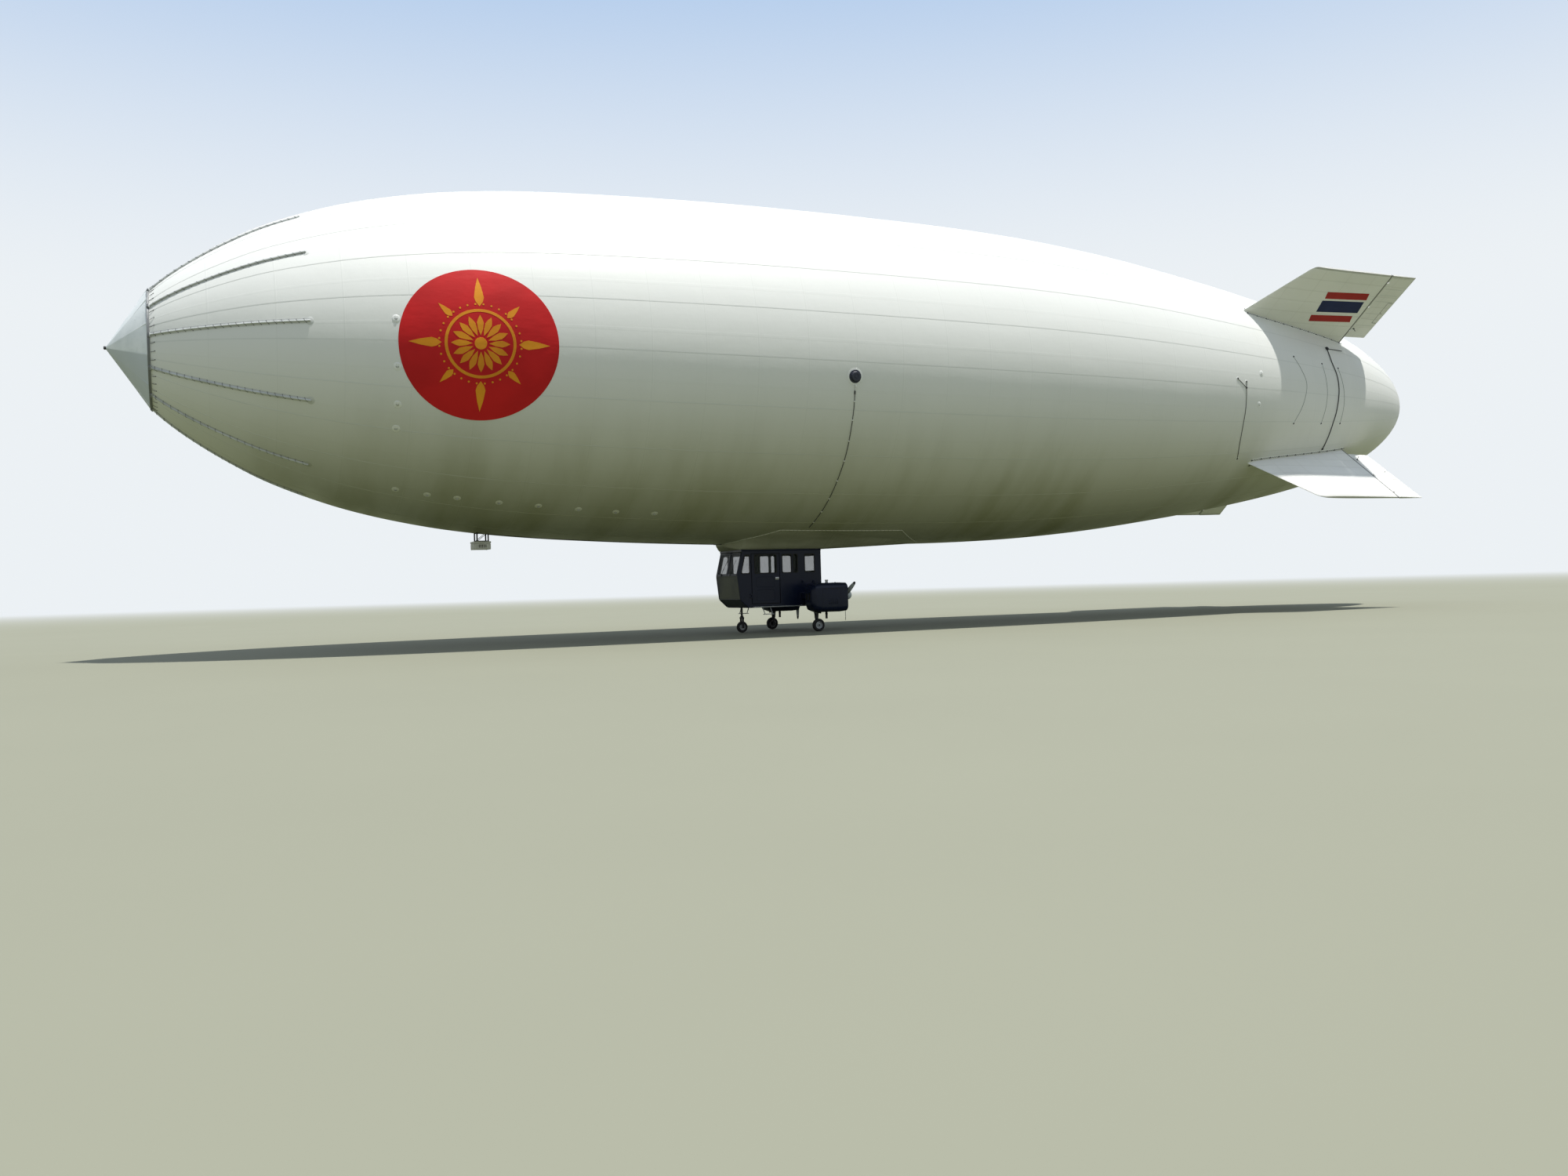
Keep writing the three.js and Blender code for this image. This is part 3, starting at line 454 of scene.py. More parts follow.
def fabric_finish(name, white, grey, underside_shade_and_grime):
    """Coated fabric: satin, with gore and panel welds, soft wrinkles, and painted shade with a painted olive
    ground reflection and some dust below.
    """
    made, at = finish_of(name, Coat_Weight=0.12, Coat_Roughness=0.35)
    x, y, z = at.split()
    gore_weld = y.math("ARCTAN2", z - AXIS).line(2 * math.pi / GORES, 0.012, GORE_PHASE)
    panel_weld = x.line(PANEL_PITCH, 0.012)
    streak = at.noise(1.1, 4, (1.2, 0.3, 0.3)).smooth(0.40, 0.75)
    clean = at.noise(0.6, 3).mix(white, tinted(white, 0.965))
    top = (z - AXIS).smooth(1.5, 2.4)
    seamed = (panel_weld * (0.12 + 0.5 * top) + gore_weld * 0.06 + streak * 0.10).mix(clean, grey)
    # Under the axis the colour goes to olive grey: painted shade and ground reflection, with some dust.
    colour = (below_axis(at) * (0.72 + 0.28 * streak)).mix(seamed, underside_shade_and_grime)
    pucker = at.noise(1.6, 4, (0.35, 1, 1)) * 0.5 + at.noise(7, 3, (1, 0.5, 0.5)) * 0.12
    weave = at.noise(70, 2)
    height = pucker + panel_weld * 0.05 + gore_weld * 0.03 + weave * 0.012
    return paint(made, colour, 0.40 + 0.14 * streak + 0.06 * weave, height, 0.011)


def tape_finish():
    made, at = finish_of("weld_tape", Roughness=0.42)
    fade = at.noise(3, 4, (0.5, 1, 1)).mix((0.66, 0.68, 0.66, 1), (0.78, 0.79, 0.77, 1))
    # The tapes are darker towards the top.
    darker_on_top = (0.8 * (at.split()[2] - AXIS).smooth(1.5, 2.4)).mix(fade, (0.36, 0.37, 0.35, 1))
    # Below the axis the tapes take the hull's painted shade and ground reflection, with some dust.
    return paint(made, (0.85 * below_axis(at)).mix(darker_on_top, HULL_UNDERSIDE_SHADE_AND_GRIME))


HULL_FABRIC = fabric_finish("hull_fabric", HULL_WHITE, HULL_GREY, HULL_UNDERSIDE_SHADE_AND_GRIME)
skin_profile = [(x, hull_radius(x)) for x in HULL_RINGS[:-1]] + [(HULL_TAIL, 0)]
piece("envelope_skin", hull_lathe(skin_profile, HULL_FACETS), HULL_FABRIC, "hull_fabric",
      stands_for=["envelope"], crease=80)
tapes = bmesh.new()
for angle in around(GORES, GORE_PHASE):
    band(tapes, [(x, angle) for x in HULL_RINGS[:-4]], SEAM_TAPE)
piece("gore_tapes", tapes, tape_finish(), "hull_fabric", crease=80)

# Emblem disc.
# A printed film disc bonded to each side of the hull behind the nose, with a plain gold rosette:
# petals round a boss, a ring of beads, and eight long rays. Each motif is its own thin inlay.
DISC_STATION = -7.54
DISC_ANGLE = math.radians(-3.3)
DISC_RADIUS = 0.975
DISC_RED = (0.62, 0.010, 0.012, 1)
DISC_DEEP = (0.46, 0.006, 0.008, 1)
GOLD = (0.85, 0.34, 0.015, 1)
GOLD_DEEP = (0.62, 0.21, 0.01, 1)


def wrapped(shape, lift):
    """Lays a flat shape, drawn round the origin in metres, on the hull at the disc's place."""
    for vertex in shape.verts:
        x = DISC_STATION + vertex.co.x
        vertex.co = on_hull(x, DISC_ANGLE + vertex.co.y / hull_radius(x), lift + vertex.co.z)
    return shape


def film(inner, outer, facets, rings, thick, shape=None):
    """A flat disc or ring of film with a thin edge, in rings fine enough to bend over the hull."""
    outline = [(inner + (outer - inner) * i / rings, thick) for i in range(rings + 1)]
    return lathe([(inner - thick, -0.001)] * (inner > 0) + outline + [(outer + thick, -0.001)], facets, shape)


def raised(shape, faces, thick):
    grown = bmesh.ops.extrude_face_region(shape, geom=faces)["geom"]
    moved = [g for g in grown if isinstance(g, bmesh.types.BMVert)]
    bmesh.ops.translate(shape, vec=(0, 0, thick), verts=moved)


def leaf(shape, root, tip, half, turn, shoulder):
    """A flat pointed leaf between two radii, turned to its place round the disc."""
    middle = root + (tip - root) * shoulder
    outline = [(root, 0), ((root + middle) / 2, 0.72 * half), (middle, half),
               ((middle + tip) / 2, 0.62 * half), (tip, 0)]
    outline += [(r, -w) for r, w in outline[-2:0:-1]]
    corners = [shape.verts.new(spun(turn) @ Vector((r, w, 0))) for r, w in outline]
    raised(shape, [shape.faces.new(corners)], 0.001)


def rosette():
    shape = film(0, 0.075, 32, 2, 0.001)
    film(0.40, 0.435, 96, 1, 0.001, shape)
    for turn in around(16):
        leaf(shape, 0.10, 0.36, 0.042, turn, 0.62)
    for i, turn in enumerate(around(8)):
        tip, half = ((0.86, 0.060), (0.70, 0.042))[i % 2]
        leaf(shape, 0.47, tip, half, turn + math.pi / 2, 0.3)
    for turn in around(32, 0.5):
        place = shift(0.50 * math.cos(turn), 0.50 * math.sin(turn), 0.001)
        bead = bmesh.ops.create_circle(shape, cap_ends=True, segments=10, radius=0.013, matrix=place)["verts"]
        raised(shape, [f for f in bead[0].link_faces if all(v in bead for v in f.verts)], 0.0006)
    long_edges = [e for e in shape.edges if e.calc_length() > 0.09]
    bmesh.ops.subdivide_edges(shape, edges=long_edges, cuts=1, use_grid_fill=True)
    bmesh.ops.triangulate(shape, faces=[f for f in shape.faces if len(f.verts) > 4])
    return shape


def film_finish(name, bright, deep):
    """Printed film, faded in patches, with the fabric's ripple under it."""
    made, at = finish_of(name, Specular_IOR_Level=0.25)
    fade = at.noise(1.3, 5)
    return paint(made, fade.smooth(0.3, 0.75).mix(bright, deep), 0.48 + 0.2 * fade,
                 at.noise(5, 4, (0.4, 1, 1)), 0.006)


discs = pair(lambda: wrapped(film(0, DISC_RADIUS, 128, 14, 0.0015), 0.002))
both("emblem_disc", discs, film_finish("red_film", DISC_RED, DISC_DEEP), "hull_fabric", crease=25)
both("emblem_rosette", pair(lambda: wrapped(rosette(), 0.0045)), film_finish("gold_film", GOLD, GOLD_DEEP),
     "hull_fabric", crease=25)

# Nose cone.
# Twelve flat facets of sheet metal joined by folded seams, riveted to a rolled rim. A steel spindle
# with a locking collar at the tip is what a mast grips, and two shackles hang under it.
CONE_FACETS = 12
CONE_PHASE = math.radians(15.5)
CONE_RADIUS = 0.76
CONE_TIP = Vector((-11.8075, 0, AXIS))
CONE_SHEET = 0.008
SPINDLE_RADIUS = 0.0225
# The spindle's section, collar and locking nut: distance behind its tip, and share of its radius.
SPINDLE = [(0, 0), (0, 0.75), (0.006, 1), (0.030, 1), (0.033, 0.85), (0.041, 0.85), (0.044, 1), (0.056, 1),
           (0.058, 1.6), (0.070, 1.7), (0.073, 1.35), (0.088, 1.35), (0.092, 2.0), (0.104, 2.1), (0.108, 1.2),
           (0.108, 0)]
SILVER = (0.88, 0.92, 0.95, 1)
SILVER_DARK = (0.74, 0.79, 0.82, 1)
# Painted shade for the cone's underside.
SILVER_UNDERSIDE_SHADE = (0.56, 0.61, 0.66, 1)
CONE_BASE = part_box("nose_cone")[1].x
SPINDLE_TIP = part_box("nose_cone")[0].x


def rod(shape, path, radius, facets=8):
    """A round rod along a path of points, closed at both ends."""
    curve = bpy.data.curves.new("rod", "CURVE")
    curve.dimensions = "3D"
    curve.bevel_depth = radius
    curve.bevel_resolution = max(facets // 4 - 1, 0)
    curve.use_fill_caps = True
    spline = curve.splines.new("POLY")
    spline.points.add(len(path) - 1)
    for point, place in zip(spline.points, path):
        point.co = (*place, 1)
    holder = bpy.data.objects.new("rod", curve)
    mesh = bpy.data.meshes.new_from_object(holder)
    made = bmesh.new()
    made.from_mesh(mesh)
    for data, stored in ((bpy.data.objects, holder), (bpy.data.curves, curve), (bpy.data.meshes, mesh)):
        data.remove(stored)
    bmesh.ops.remove_doubles(made, verts=made.verts, dist=1e-6)
    return gather(shape, outward(made))


def dome(radius, height, facets=8):
    """A rivet or bolt head that stands on z = 0."""
    return lathe([(0, -height), (radius, -height), (radius, 0.3 * height), (0.6 * radius, 0.9 * height),
                  (0, height)], facets)


def facing(point, out, along=AFT):
    """A frame at a point with Z out and X close to along."""
    out = out.normalized()
    up = out.cross(along).normalized()
    return shift(*point) @ Matrix((up.cross(out), up, out)).transposed().to_4x4()


def at_turn(x, radius, turn):
    """The point at a station and radius, turned to starboard from the top."""
    return Vector((x, radius * math.sin(turn), AXIS + radius * math.cos(turn)))


def cone_shell():
    ends = [at_turn(CONE_BASE, CONE_RADIUS, CONE_PHASE), at_turn(CONE_TIP.x, SPINDLE_RADIUS, CONE_PHASE)]
    shape = turned(ends, CONE_TIP, AFT, CONE_FACETS)
    bmesh.ops.solidify(shape, geom=shape.faces, thickness=CONE_SHEET)
    corners = [at_turn(CONE_BASE, CONE_RADIUS, CONE_PHASE + turn) for turn in around(CONE_FACETS)]
    rivets = []
    for near, far in zip(corners, corners[1:] + corners[:1]):
        rod(shape, [CONE_TIP.lerp(near, 0.06), near], 0.0045)
        rod(shape, [near, far], 0.006)
        out = (near - CONE_TIP).cross(far - CONE_TIP)
        across = (far - near).normalized()
        spots = [near.lerp(far, (k + 0.5) / 9).lerp(CONE_TIP, 0.035) for k in range(9)]
        spots += [CONE_TIP.lerp(edge, 0.2 + 0.075 * k) + inward * 0.014
                  for k in range(10) for edge, inward in ((near, across), (far, -across))]
        rivets += [facing(spot, out, across) for spot in spots]
    return gather(shape, dome(0.0042, 0.0025, 6), rivets)


def metal_finish(name, bright, dull, roughness, metallic):
    """Bare or silvered metal with a brushed grain, smudges and scratches."""
    made, at = finish_of(name, Metallic=metallic)
    smudge = at.noise(4, 5).smooth(0.35, 0.7)
    grain = at.noise(60, 3, (0.15, 1, 1))
    mark = at.noise(24, 6, (1, 0.2, 1)).smooth(0.60, 0.64)
    colour = (smudge * 0.7 + mark * 0.3).mix(bright, dull)
    return paint(made, colour, roughness + 0.18 * smudge + 0.06 * grain, grain + 0.4 * mark, 0.0006)


def partly(made, share, colour):
    """Mixes a colour into a finish where a value of its coordinates is high."""
    at = Socket(made.node_tree).node("TexCoord", {}, {}, out="Object")
    plain = made.node_tree.nodes["Principled BSDF"].inputs["Base Color"].links[0].from_socket
    return paint(made, share(*at.split()).mix(Socket(at.tree, plain), colour))


def from_axis(y, z, middle_y=0, middle_z=AXIS):
    return ((y - middle_y).math("POWER", 2) + (z - middle_z).math("POWER", 2)).math("SQRT")


SILVER_SHEET = metal_finish("silver_sheet", SILVER, SILVER_DARK, 0.46, 0.05)
# The cone's underside is darker: painted shade under the cone.
partly(SILVER_SHEET, lambda x, y, z: ((AXIS - z) / from_axis(y, z)).smooth(0.21, 0.29), SILVER_UNDERSIDE_SHADE)
DARK_STEEL = metal_finish("dark_steel", (0.045, 0.047, 0.052, 1), (0.018, 0.018, 0.020, 1), 0.5, 0.4)
BRIGHT_STEEL = metal_finish("bright_steel", (0.55, 0.56, 0.57, 1), (0.30, 0.30, 0.31, 1), 0.3, 0.9)
piece("nose_cone_shell", cone_shell(), SILVER_SHEET, "nose_silver", stands_for=["nose_cone"], crease=20)
spindle = hull_lathe([(SPINDLE_TIP + x, share * SPINDLE_RADIUS) for x, share in SPINDLE], 24)
piece("mast_spindle", spindle, DARK_STEEL, "nose_silver", crease=30)

shackles = bmesh.new()
for _, side in SIDES:
    eye = Vector((SPINDLE_TIP + 0.10, -side * 0.030, AXIS - 0.030))
    bow = [(0, 0.016 * math.cos(a), 0.030 * math.sin(a) - 0.020) for a in steps(0.3, -3.44, 0.25)]
    rod(shackles, [eye + Vector(p) for p in bow], 0.0042)
    rod(shackles, [eye + Vector((0, y, -0.012)) for y in (-0.024, 0.024)], 0.0045)
piece("nose_shackles", shackles, DARK_STEEL, "dark_metal")

# Nose ring and battens.
# A rolled ring carries twelve tubes that lie on the nose and stop it from being pushed in. Each tube
# is laced through eyelets in a fabric strip, and its tip stands on a round doubler patch.
RING_OUTER = 0.779
RING_INNER = 0.72
RING_LIP = 0.004
RING_BOLTS = 48
BATTEN_ANGLES = around(12, 0.125)
BATTEN_RADIUS = 0.0135
LACING_PITCH = 0.085
BATTEN_STRIP = 0.062
RING_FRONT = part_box("nose_battens")[0].x
BATTEN_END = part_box("nose_battens")[1].x - 0.004


def slab(size, bevel, place=Matrix(), segments=2):
    """A block with rounded edges, centred on its place."""
    shape = bmesh.new()
    bmesh.ops.create_cube(shape, size=1)
    bmesh.ops.scale(shape, vec=size, verts=shape.verts)
    return eased_edges(shape, bevel, segments, place)


def eased_edges(shape, bevel, segments=2, place=Matrix()):
    bmesh.ops.bevel(
        shape, geom=shape.edges, offset=bevel, segments=segments, profile=0.5, affect="EDGES", material=-1,
    )
    bmesh.ops.transform(shape, matrix=place, verts=shape.verts)
    return shape


def batten_path(angle):
    """The tube starts on the ring and follows the skin from there."""
    points = [on_hull(x, angle, 0.6 * BATTEN_RADIUS) for x in steps(HULL_NOSE + 0.01, BATTEN_END, 0.05)]
    return [Vector((RING_FRONT + 0.006, *points[0].yz))] + points


def ring_and_battens():
    low, high = RING_FRONT, HULL_NOSE - 0.0003
    outer = [(low, RING_OUTER - RING_LIP), (low + RING_LIP, RING_OUTER), (high - RING_LIP, RING_OUTER),
             (high, RING_OUTER - RING_LIP)]
    shape = hull_lathe([(low, RING_INNER), *outer, (high, RING_INNER), (low, RING_INNER)], 96)
    bolts = []
    for angle in BATTEN_ANGLES:
        path = batten_path(angle)
        rod(shape, path, BATTEN_RADIUS, 12)
        tip = facing(path[-1], path[-1] - path[-2], Vector((0, 1, 0.3)))
        gather(shape, dome(BATTEN_RADIUS, 0.010, 12), [tip])
        out = on_hull(HULL_NOSE, angle, 1) - on_hull(HULL_NOSE, angle)
        seat = facing(path[0] + AFT * 0.016, out)
        clamp = slab((1, 1, 1), 0.12)
        gather(shape, clamp, [seat @ Matrix.Diagonal((0.040, 0.056, 0.030, 1))])
        bolts += [seat @ shift(0.006, y, 0.016) for y in (-0.021, 0.021)]
    for turn in around(RING_BOLTS, 0.5):
        spot = at_turn((low + high) / 2, RING_OUTER, turn)
        bolts.append(facing(spot, Vector((0, math.sin(turn), math.cos(turn)))))
    return gather(shape, dome(0.004, 0.003, 6), bolts)


def batten_strips():
    shape = bmesh.new()
    for angle in BATTEN_ANGLES:
        band(shape, [(x, angle) for x in steps(HULL_NOSE + 0.02, BATTEN_END + 0.02, 0.06)], BATTEN_STRIP)
    doubler = lathe([(0, 0.0022), (0.045, 0.0022), (0.05, 0), (0, -0.003)], 24)
    return gather(shape, doubler, [hull_place(BATTEN_END, angle, 0.0004) for angle in BATTEN_ANGLES])


def lacing():
    """A cord loop over the tube at each pair of eyelets, leaning from one pair to the next."""
    over = BATTEN_RADIUS + 0.0035
    arch = [(0.012 * math.cos(a), -over * math.cos(a), over * math.sin(a) + 0.006)
            for a in steps(0, math.pi, 0.5)]
    loop = rod(bmesh.new(), [(0.018, -0.024, 0.002), *arch, (-0.018, 0.024, 0.002)], 0.0024, 4)
    eyelets = [shift(0.018 * k, -0.024 * k, 0.0015) for k in (-1, 1)]
    places = [hull_place(x, angle) for angle in BATTEN_ANGLES
              for x in steps(HULL_NOSE + 0.06, BATTEN_END - 0.05, LACING_PITCH)]
    return gather(laid(loop, places), dome(0.0055, 0.0015, 6), [p @ e for p in places for e in eyelets])


def ring_ties():
    """Short cords that tie the ring back to eyelets in the skin."""
    tie = rod(bmesh.new(), [(-0.030, -0.008, 0.010), (0.012, 0, 0.006), (0.030, 0.008, 0.002)], 0.0028, 4)
    gather(tie, dome(0.0065, 0.003, 6), [shift(0.030, 0.008, 0.001)])
    return laid(tie, [hull_place(HULL_NOSE + 0.035, angle) for angle in around(RING_BOLTS, 0.5)])


def strip_finish():
    made, at = finish_of("batten_strip", Roughness=0.5)
    worn = at.noise(6, 5).mix((0.56, 0.58, 0.57, 1), (0.70, 0.71, 0.70, 1))
    # Darker and olive below the axis: painted shade and ground reflection, with some dust.
    return paint(made, (0.85 * below_axis(at)).mix(worn, HULL_UNDERSIDE_SHADE_AND_GRIME), None, at.noise(80, 2), 0.0006)


def cord_finish(name, colour):
    made, at = finish_of(name, Roughness=0.8)
    twist = at.noise(160, 2, (1, 0.3, 1))
    return paint(made, twist.mix(tinted(colour, 0.6), tinted(colour, 1.3)), None, twist, 0.0008)


# The rolled ring ahead of the battens is a darker grey than they are.
RING_PAINT = metal_finish("batten_tube", (0.62, 0.64, 0.64, 1), (0.44, 0.46, 0.46, 1), 0.45, 0.2)
partly(RING_PAINT, lambda x, y, z: 1 - x.smooth(HULL_NOSE - 0.001, HULL_NOSE + 0.001), (0.20, 0.21, 0.22, 1))
GREY_TUBE = metal_finish("grey_tube", (0.52, 0.54, 0.55, 1), (0.36, 0.37, 0.38, 1), 0.4, 0.5)
DARK_CORD = cord_finish("dark_cord", (0.07, 0.07, 0.075))
piece("nose_ring_and_battens", ring_and_battens(), RING_PAINT, "batten_metal", stands_for=["nose_battens"],
      crease=35)
piece("batten_strips", batten_strips(), strip_finish(), "hull_fabric")
piece("batten_lacing", lacing(), cord_finish("grey_cord", (0.16, 0.165, 0.17)), "dark_metal")
piece("ring_ties", ring_ties(), DARK_CORD, "dark_metal")

# Handling patches.
# Round fabric patches bonded along the lower sides and before the disc. Each holds a steel D-ring in a
# webbing loop, where the ship is held or a line is made fast.
PATCH_RADIUS = 0.05
# Patch: station and degrees above the port mid-line.
PATCHES = [
    (-8.535, 4), (-8.53, -11.5), (-8.52, -24), (-8.525, -32.5), (-8.45, -59), (-8.05, -59), (-7.67, -58.5),
    (-7.12, -58.5), (-6.59, -58.5), (-6.03, -59), (-5.49, -59.5), (-4.92, -59.5), (5.99, 4), (5.94, -10.3),
]


def patch(radius, thick=0.0025, facets=24):
    """A round doubler with a bevelled edge, flat on z = 0."""
    return lathe([(0, thick), (0.5 * radius, thick), (0.92 * radius, thick), (radius, 0),
                  (0.9 * radius, -0.004), (0, -0.004)], facets)


def seats(spots, lift=0.0006, side=1):
    """Frames on the skin at stations and degrees."""
    return [hull_place(x, math.radians(angle), lift, side=side) for x, angle in spots]


patch_places = [seats([spot], side=side)[0] for spot in PATCHES for _, side in SIDES]
half_ring = [(0.016 * math.cos(a), 0.016 * math.sin(a), 0.008) for a in steps(0, -math.pi, 0.3)]
# Its patches, hems and piping go olive below the axis: painted shade and ground reflection, with some dust.
PALE_FABRIC = fabric_finish("pale_fabric", (0.86, 0.87, 0.86, 1), HULL_GREY, (0.62, 0.62, 0.50, 1))
piece("handling_patches", laid(patch(PATCH_RADIUS), patch_places), PALE_FABRIC, "hull_fabric")
webbing = slab((0.022, 0.05, 0.003), 0.0012, shift(0, 0.014, 0.0045))
piece("patch_webbing", laid(webbing, patch_places), PALE_FABRIC, "hull_fabric")
d_ring = rod(bmesh.new(), half_ring + half_ring[:1], 0.0028)
piece("patch_rings", laid(d_ring, patch_places), BRIGHT_STEEL, "dark_metal")

# Gas valves.
# A dark moulded cap on a bolted flange on each side lets gas out. It has a ring of slots round a low
# boss. Below it a white fitting takes the control cable, which is held to the skin by small tabs.
VALVE = (-2.3225, -7.7)
VALVE_RADIUS = 0.0945
CABLE_RADIUS = 0.0052
VALVE_CABLE = [(-2.315, -12), (-2.305, -17), (-2.30, -25), (-2.295, -33), (-2.305, -42), (-2.315, -51),
               (-2.33, -58.5), (-2.345, -66)]
# The cap's section: radius as a share of its own, and height.
VALVE_CAP = [
    (0, -0.03), (1, -0.03), (1, 0.006), (0.97, 0.010), (0.80, 0.010), (0.76, 0.016), (0.70, 0.040),
    (0.66, 0.044), (0.36, 0.045), (0.32, 0.041), (0.28, 0.041), (0.25, 0.0465), (0, 0.047),
]


def eased(points, count):
    """Points at even steps of a smooth curve through the given ones."""
    points = [Vector(p) for p in points]
    ends = [2 * points[0] - points[1]] + points + [2 * points[-1] - points[-2]]
    made = []
    for i in range(count):
        k = min(int(i / (count - 1) * (len(points) - 1)), len(points) - 2)
        t = i / (count - 1) * (len(points) - 1) - k
        a, b, c, d = ends[k:k + 4]
        bend = (2 * a - 5 * b + 4 * c - d) * t ** 2 + (3 * b - a - 3 * c + d) * t ** 3
        made.append(0.5 * (2 * b + (c - a) * t + bend))
    return made


def valve_cap():
    bolts = [spun(turn) @ shift(0.89 * VALVE_RADIUS, 0, 0.009) for turn in around(12)]
    cap = lathe([(share * VALVE_RADIUS, z) for share, z in VALVE_CAP], 64)
    return gather(cap, dome(0.0048, 0.004, 6), bolts)


def valve_slots():
    """Dark slabs just proud of the cap's slope: painted shade for the mouths of the slots."""
    slope = shift(0.738 * VALVE_RADIUS, 0, 0.028) @ spun(math.radians(77), "Y")
    return laid(slab((0.017, 0.012, 0.003), 0.001), [spun(turn) @ slope for turn in around(16, 0.5)])


def valve_fitting():
    nozzle = slab((0.014, 0.07, 0.014), 0.003, shift(0, -0.034, -0.003))
    return gather(slab((0.026, 0.038, 0.024), 0.004), nozzle)


def valve_cable():
    route = [place.translation for place in seats(cable_path, CABLE_RADIUS)]
    return rod(rod(bmesh.new(), route, CABLE_RADIUS), route[:3], 2.2 * CABLE_RADIUS, 12)


def moulded_finish(name, colour, worn, roughness=0.45):
    """Moulded or painted plastic: a fine grain, dull patches and a dusting."""
    made, at = finish_of(name, Coat_Weight=0.1, Coat_Roughness=0.3)
    dull = at.noise(5, 5).smooth(0.4, 0.75)
    return paint(made, dull.mix(colour, worn), roughness + 0.2 * dull, at.noise(220, 2), 0.0004)


VALVE_PLASTIC = moulded_finish("valve_plastic", (0.022, 0.027, 0.055, 1), (0.045, 0.05, 0.07, 1))
# Near black: painted shade for slot mouths, panel gaps and louvre openings, and the colour of a few black
# parts.
GAP_SHADE_AND_BLACK = moulded_finish("gap_shade_and_black", (0.004, 0.004, 0.005, 1), (0.010, 0.010, 0.012, 1), 0.8)
WHITE_PLASTIC = moulded_finish("white_plastic", (0.80, 0.81, 0.80, 1), (0.66, 0.66, 0.63, 1))
cable_path = [p.to_tuple() for p in eased(VALVE_CABLE, 60)]
for name, make, lift, spots, finish, slot in (
    ("valve_cap", valve_cap, 0, [VALVE], VALVE_PLASTIC, "valve_plastic"),
    ("valve_slots", valve_slots, 0, [VALVE], GAP_SHADE_AND_BLACK, "valve_plastic"),
    ("valve_collar", lambda: patch(1.28 * VALVE_RADIUS, 0.002, 48), 0, [VALVE], PALE_FABRIC, "hull_fabric"),
    ("valve_fitting", valve_fitting, 0.012, [(-2.309, -10.6)], WHITE_PLASTIC, "white_plastic"),
    ("valve_cable_tabs", lambda: slab((0.030, 0.016, 0.017), 0.004), 0.004, cable_path[6:-2:7], PALE_FABRIC,
     "hull_fabric"),
):
    stands_for = "gas_valve" if name == "valve_cap" else ""
    both(name, pair(lambda: laid(make(), seats(spots, lift))), finish, slot, stands_for=stands_for)
both("valve_cable", pair(valve_cable), DARK_CORD, "dark_metal")

# Belly box.
# A white equipment box slung under the hull on a black steel bracket, with a lid seam, louvres and
# corner screws. A thin cable runs from it along the keel to the cabin's fairing.
box_low, box_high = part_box("belly_box")
bracket_low, bracket_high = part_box("belly_bracket")
BOX_LID = 0.026
LOUVRES = 5


def belly_box():
    x, y, _ = (box_low + box_high) / 2
    extent = box_high - box_low
    shape = slab((extent.x, extent.y, BOX_LID), 0.006, shift(x, y, box_high.z - BOX_LID / 2), 3)
    tub = (extent.x - 0.006, extent.y - 0.006, extent.z - BOX_LID - 0.002)
    gather(shape, slab(tub, 0.008, shift(x, y, (box_low.z + box_high.z - BOX_LID - 0.002) / 2), 3))
    screws = [shift(x + i * 0.44 * extent.x, y + k * 0.44 * extent.y, box_low.z) @ spun(math.pi, "X")
              for i in (-1, 1) for k in (-1, 1)]
    return gather(shape, dome(0.005, 0.003, 8), screws)


def box_louvres():
    height = (box_low.z + box_high.z) / 2 - 0.01
    # Near-black slabs on the box's sides: painted shade for the louvres' openings.
    return laid(slab((0.010, 0.004, 0.044), 0.0015), [
        shift(box_low.x + 0.075 + 0.024 * i, side * (box_high.y - 0.0035), height)
        for _, side in SIDES for i in range(LOUVRES)
    ])


def bracket_frame():
    shape = bmesh.new()
    top = on_hull(bracket_low.x, -math.pi / 2).z - 0.004
    bottom = bracket_low.z
    ends, flanks = [(bracket_low[i] + 0.01, bracket_high[i] - 0.01) for i in (0, 1)]
    middle = (bracket_low.x + bracket_high.x) / 2
    span, breadth, _ = bracket_high - bracket_low
    post = slab((0.018, 0.018, top - bottom + 0.02), 0.002)
    gather(shape, post, [shift(x, y, (top + bottom) / 2 + 0.01) for x in ends for y in flanks])
    gather(shape, slab((0.020, breadth, 0.012), 0.002), [shift(x, 0, bottom + 0.006) for x in ends])
    for y in flanks:
        gather(shape, slab((span, 0.020, 0.012), 0.002), [shift(middle, y, z) for z in (bottom + 0.006, top)])
        rod(shape, [(bracket_low.x + 0.02, y, bottom + 0.01), (bracket_high.x - 0.02, y, top)], 0.004)
    return gather(shape, slab((0.12, 0.12, 0.008), 0.002, shift(middle, 0, bottom + 0.004)))


piece("belly_box_case", belly_box(), WHITE_PLASTIC, "white_plastic", stands_for=["belly_box"])
piece("belly_box_louvres", box_louvres(), GAP_SHADE_AND_BLACK, "white_plastic")
piece("belly_bracket_frame", bracket_frame(), DARK_STEEL, "dark_metal", stands_for=["belly_bracket"])
keel_cable = [on_hull(x, math.radians(-88), 0.005) for x in steps(bracket_high.x - 0.02, -3.36, 0.1)]
piece("belly_cable", rod(bmesh.new(), keel_cable, 0.004), DARK_CORD, "dark_metal")

# Keel fairing.
# A flat-bottomed fabric skirt closes the space between the round hull and the cabin roof. It is laced
# to the hull along a pale piping and stiffened by hoops, which show as soft ridges.
PIPING_RADIUS = 0.007
